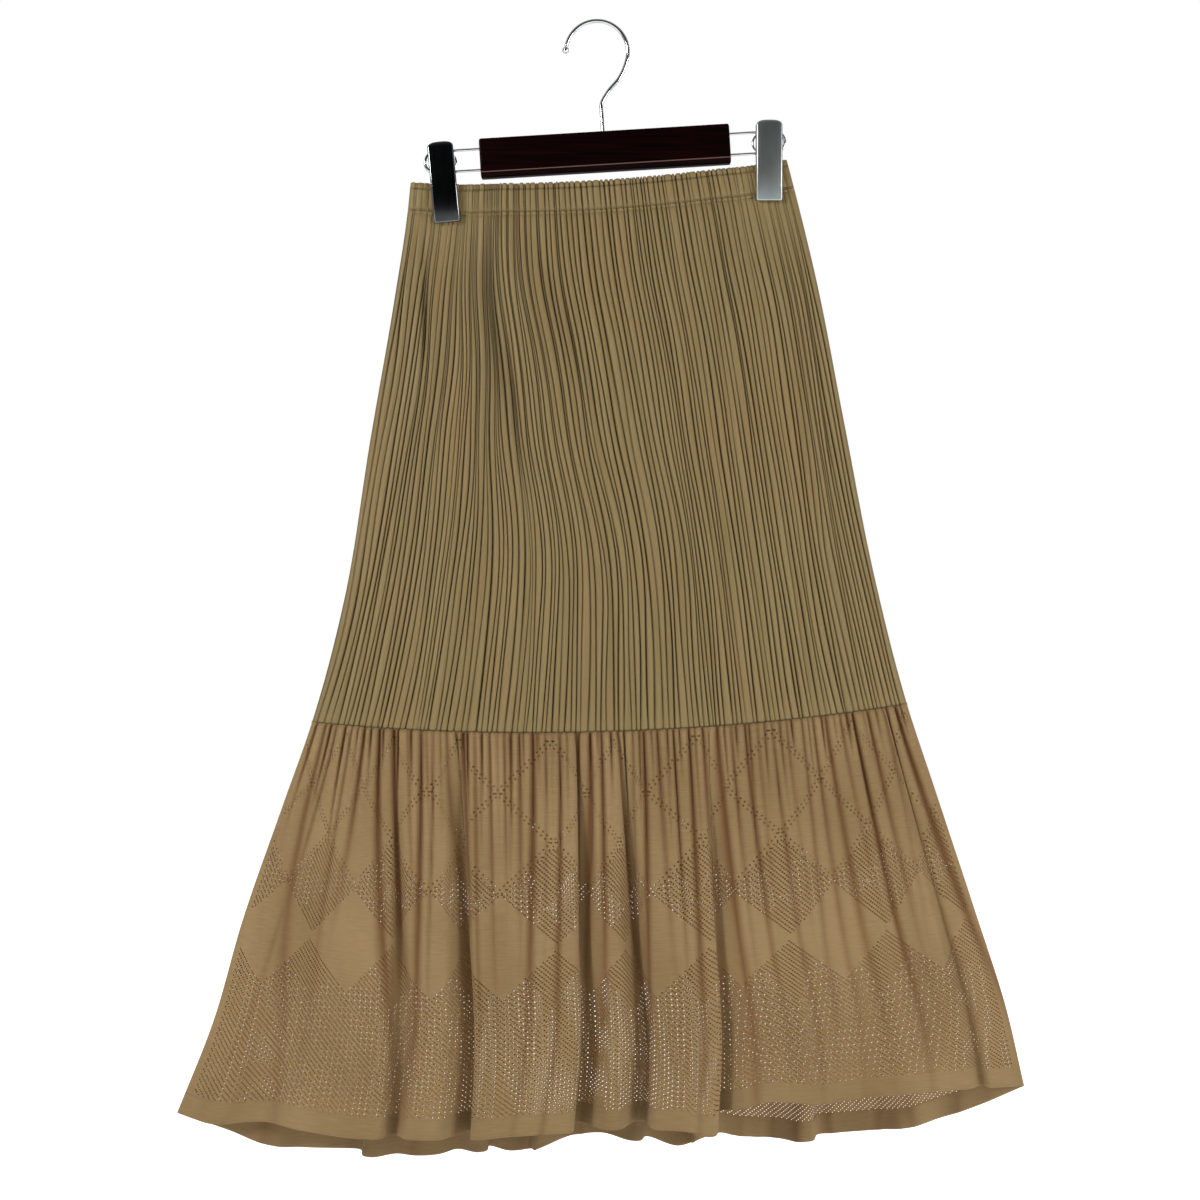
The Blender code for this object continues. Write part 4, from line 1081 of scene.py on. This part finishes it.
BACK_PLATE = (
    PlateRow("crown's tip", -2.0, 4.6, BACK_INNER + 1.6, 6.6),
    PlateRow("crown", -1.4, 7.2, BACK_INNER + 1.0, 7.4),
    PlateRow("shoulder", -0.2, 9.4, BACK_INNER + 0.4, 8.0),
    PlateRow("full width", 2.4, 11.0, BACK_INNER, 8.6),
    PlateRow("under the wires", 32.0, 11.0, BACK_INNER, 8.6),
    PlateRow("over the cloth", 35.5, 11.0, JAW_INNER, 7.4),
    PlateRow("over the foot", 70.0, 11.0, JAW_INNER, 6.8),
    PlateRow("foot", 70.6, 10.6, JAW_INNER, 6.0),
)

# A plate's section from rim to rim: share of the half width, millimetres in from it, share of the way from
# the inner to the outer face, millimetres back from it, and 1 on the rim, which gets a painted highlight
PlatePlace = namedtuple("PlatePlace", "name width_share in_from_rim out_share back rim")
PLATE_SECTION = (
    PlatePlace("inner rim", 1.0, 0.0, 0.0, 0.0, 1.0),
    PlatePlace("side", 1.0, 0.0, 1.0, 1.5, 1.0),
    PlatePlace("chamfer's foot", 1.0, 0.15, 1.0, 1.1, 1.0),
    PlatePlace("chamfer", 1.0, 0.7, 1.0, 0.45, 1.0),
    PlatePlace("chamfer's head", 1.0, 1.15, 1.0, 0.2, 1.0),
    PlatePlace("face's edge", 1.0, 1.4, 1.0, 0.15, 0.0),
    PlatePlace("face", 0.5, 0.0, 1.0, 0.04, 0.0),
)


def plate_rings(clip, side, rows):
    """A clip's plate: its section, fitted to each row of the plate's table down the clip's own slant.

    A place of the section lies at half width * share - millimetres in, and between the inner and the outer
    face by its share, less its millimetres back. The two rows at each end get the rim's painted highlight
    too.
    """
    top, foot = np.array([clip.top_x, 0, clip.top_z]), np.array([clip.foot_x, 0, clip.foot_z])
    along = (foot - top) / np.linalg.norm(foot - top)
    across = np.array([-along[2], 0, along[0]])
    rings, painted_light = [], []
    for row in rows:
        half = [
            (row.half_width * place.width_share - place.in_from_rim,
             row.inner + (row.outer - row.inner) * place.out_share - min(place.back, row.outer - row.inner),
             place.rim)
            for place in PLATE_SECTION]
        ring = np.array(
            [(-width, out, rim) for width, out, rim in half] + [(0.0, row.outer, 0.0)] + half[::-1])
        centre = top + along * row.along
        rings.append(centre + across * ring[:, :1] + np.array([0, side, 0]) * ring[:, 1:2])
        painted_light.append(ring[:, 2])
    painted_light = np.array(painted_light)
    painted_light[[0, 1, -2, -1]] = 1.0
    return np.array(rings), painted_light


def plated_steel(name, face_dark, face_light, rim, face_gloss):
    """Plated sheet steel, finely scratched along the plate: its chamfered rim is lighter, a painted
    highlight.

    The scratches are drawn at 0.6 mm, coarser than the real ones, so that they show.
    """
    material, tree = new_material(name)
    place = add_node(tree, "TexCoord").outputs["Object"]
    long_place = add_node(tree, "Mapping", {"Scale": (1600, 300, 40), "Vector": place})
    scratches = add_node(tree, "TexNoise", {"Scale": 1.0, "Detail": 3.0, "Vector": long_place})
    cloud_place = add_node(tree, "Mapping", {"Scale": (60, 60, 25), "Vector": place})
    clouds = add_node(tree, "TexNoise", {"Scale": 1.0, "Detail": 2.0, "Vector": cloud_place})
    shade = add_node(tree, "MapRange", {"From Min": 0.35, "From Max": 0.65, "Value": clouds})
    face = add_node(tree, "Mix", {6: linear(face_dark), 7: linear(face_light), 0: shade}, data_type="RGBA")
    # Painted highlight: the rim is given a lighter colour than the face
    rim_highlight_share = add_node(tree, "Attribute", attribute_name="painted_light").outputs["Fac"]
    colour = add_node(tree, "Mix", {7: linear(rim), 0: rim_highlight_share, 6: face.outputs[2]}, data_type="RGBA")
    gloss = add_node(
        tree, "MapRange", {"To Min": face_gloss, "To Max": face_gloss + 0.12, "Value": scratches})
    surface = add_node(
        tree, "BsdfPrincipled", {"Metallic": 1.0, "Base Color": colour.outputs[2], "Roughness": gloss})
    add_node(tree, "OutputMaterial", {"Surface": surface})
    return material


# The left plate's colours are much darker than the right one's, a painted reflection of the dark room
plate_painted_dark = plated_steel("chromed steel painted dark", "3d4042", "4c4f51", "7d8082", 0.12)
satin_plate = plated_steel("satin plated steel", "878e8d", "9da4a3", "b9bcbd", 0.32)
for clip, finish in zip(CLIPS, (plate_painted_dark, satin_plate)):
    for (side, word), plate, slot in zip(SIDES, (FRONT_PLATE, BACK_PLATE), ("clip_plate", "clip_back")):
        rings, painted_light = plate_rings(clip, side, plate)
        place_on_clip = clip.name + "_" + word
        make_solid("clip_plate_" + place_on_clip, rings, finish, "clip_" + place_on_clip, painted_light=painted_light)
    along_bar = (clip.top_x - BAR_X) / math.cos(BAR_TILT)
    angle = np.linspace(0, 2 * math.pi, SPRING_POINTS, endpoint=False)
    path = bar_points(
        along_bar + SPRING_HALF_WIDTH * np.cos(angle), SPRING_Y, SPRING_HALF_HEIGHT * np.sin(angle))
    rings = tube_rings(path, np.full(SPRING_POINTS, SPRING_WIRE), 10, closed=True)
    make_solid(
        "spring_wire_" + clip.name, rings, chrome, "clip_" + clip.name + "_spring",
        closed=True)

# The stage: a plain pale floor under the hem and soft studio light from the front, with a white backdrop.
# Its sizes are in metres. The floor glows from 1.2 m out, so that it runs into the backdrop without a line.

FLOOR_Z = -1.2
FLOOR_RADIUS = 4.0
FLOOR_SIDES = 96

# Matt white painted board
floor_material, tree = new_material("matt white floor")
place = add_node(tree, "TexCoord").outputs["Object"]
grain = add_node(tree, "TexNoise", {"Scale": 60.0, "Detail": 2.0, "Vector": place})
colour = add_node(tree, "Mix", {6: linear("d9d8d6"), 7: linear("e0dfdd"), 0: grain}, data_type="RGBA")
away = add_node(tree, "VectorMath", {0: place}, operation="LENGTH")
glow = add_node(
    tree, "MapRange", {"From Min": 1.215, "From Max": 1.285, "To Max": 0.8, "Value": away.outputs["Value"]},
    interpolation_type="SMOOTHSTEP")
surface = add_node(
    tree, "BsdfPrincipled",
    {"Roughness": 0.9, "Base Color": colour.outputs[2], "Emission Color": (1, 1, 1, 1),
     "Emission Strength": glow})
add_node(tree, "OutputMaterial", {"Surface": surface})
angle = np.linspace(0, 2 * math.pi, FLOOR_SIDES, endpoint=False)
floor_points = np.stack(
    [FLOOR_RADIUS * np.cos(angle), FLOOR_RADIUS * np.sin(angle), np.full(FLOOR_SIDES, FLOOR_Z)], axis=-1)
floor = make_piece("floor", floor_points / MM, [tuple(range(FLOOR_SIDES))], floor_material)

# The dark end of the studio lies in front of the object, behind the camera, and the rest is white.
world = bpy.data.worlds.new("white studio")
bpy.context.scene.world = world
world.use_nodes = True
tree = world.node_tree
tree.nodes.clear()
direction = add_node(tree, "TexCoord").outputs["Generated"]
split_direction = add_node(tree, "SeparateXYZ", {"Vector": direction})
whiteness = add_node(
    tree, "MapRange",
    {"From Min": -0.97, "From Max": -0.3, "To Min": 0.01, "To Max": 0.42,
     "Value": split_direction.outputs["Y"]})
seen = add_node(tree, "LightPath").outputs["Is Camera Ray"]
strength = add_node(tree, "Math", {0: whiteness, 1: seen}, operation="MAXIMUM")
white = add_node(tree, "Background", {"Color": (1, 1, 1, 1), "Strength": strength})
add_node(tree, "OutputWorld", {"Surface": white})
bpy.context.scene.view_settings.view_transform = "Standard"

LIT_PLACE = Vector((0.0, 0.0, -0.55))
Softbox = namedtuple("Softbox", "name x y z size watts")
for box in (
    Softbox("key", -1.9, -1.5, 0.5, 0.6, 42.0),
    Softbox("fill", 1.9, -1.4, -0.2, 0.9, 28.0),
    Softbox("back", 0.6, 2.0, 0.4, 1.0, 10.0),
):
    light = bpy.data.lights.new(box.name, "AREA")
    light.size = box.size
    light.energy = box.watts
    lamp = bpy.data.objects.new(box.name, light)
    lamp.location = (box.x, box.y, box.z)
    lamp.rotation_euler = (LIT_PLACE - lamp.location).to_track_quat("-Z", "Y").to_euler()
    bpy.context.scene.collection.objects.link(lamp)

# The camera looks straight at the middle of the photograph's frame, which is 1.056 m wide.
CAMERA_DISTANCE = 1.5
FRAME_WIDTH = 1.056
FRAME_MIDDLE_X = 0.00264
FRAME_MIDDLE_Z = -0.5078
SENSOR_WIDTH = 36.0
camera = bpy.data.cameras.new("camera")
camera.sensor_width = SENSOR_WIDTH
camera.lens = SENSOR_WIDTH * CAMERA_DISTANCE / FRAME_WIDTH
eye = bpy.data.objects.new("camera", camera)
eye.location = (FRAME_MIDDLE_X, -CAMERA_DISTANCE, FRAME_MIDDLE_Z)
eye.rotation_euler = (math.pi / 2, 0, 0)
bpy.context.scene.collection.objects.link(eye)
bpy.context.scene.camera = eye
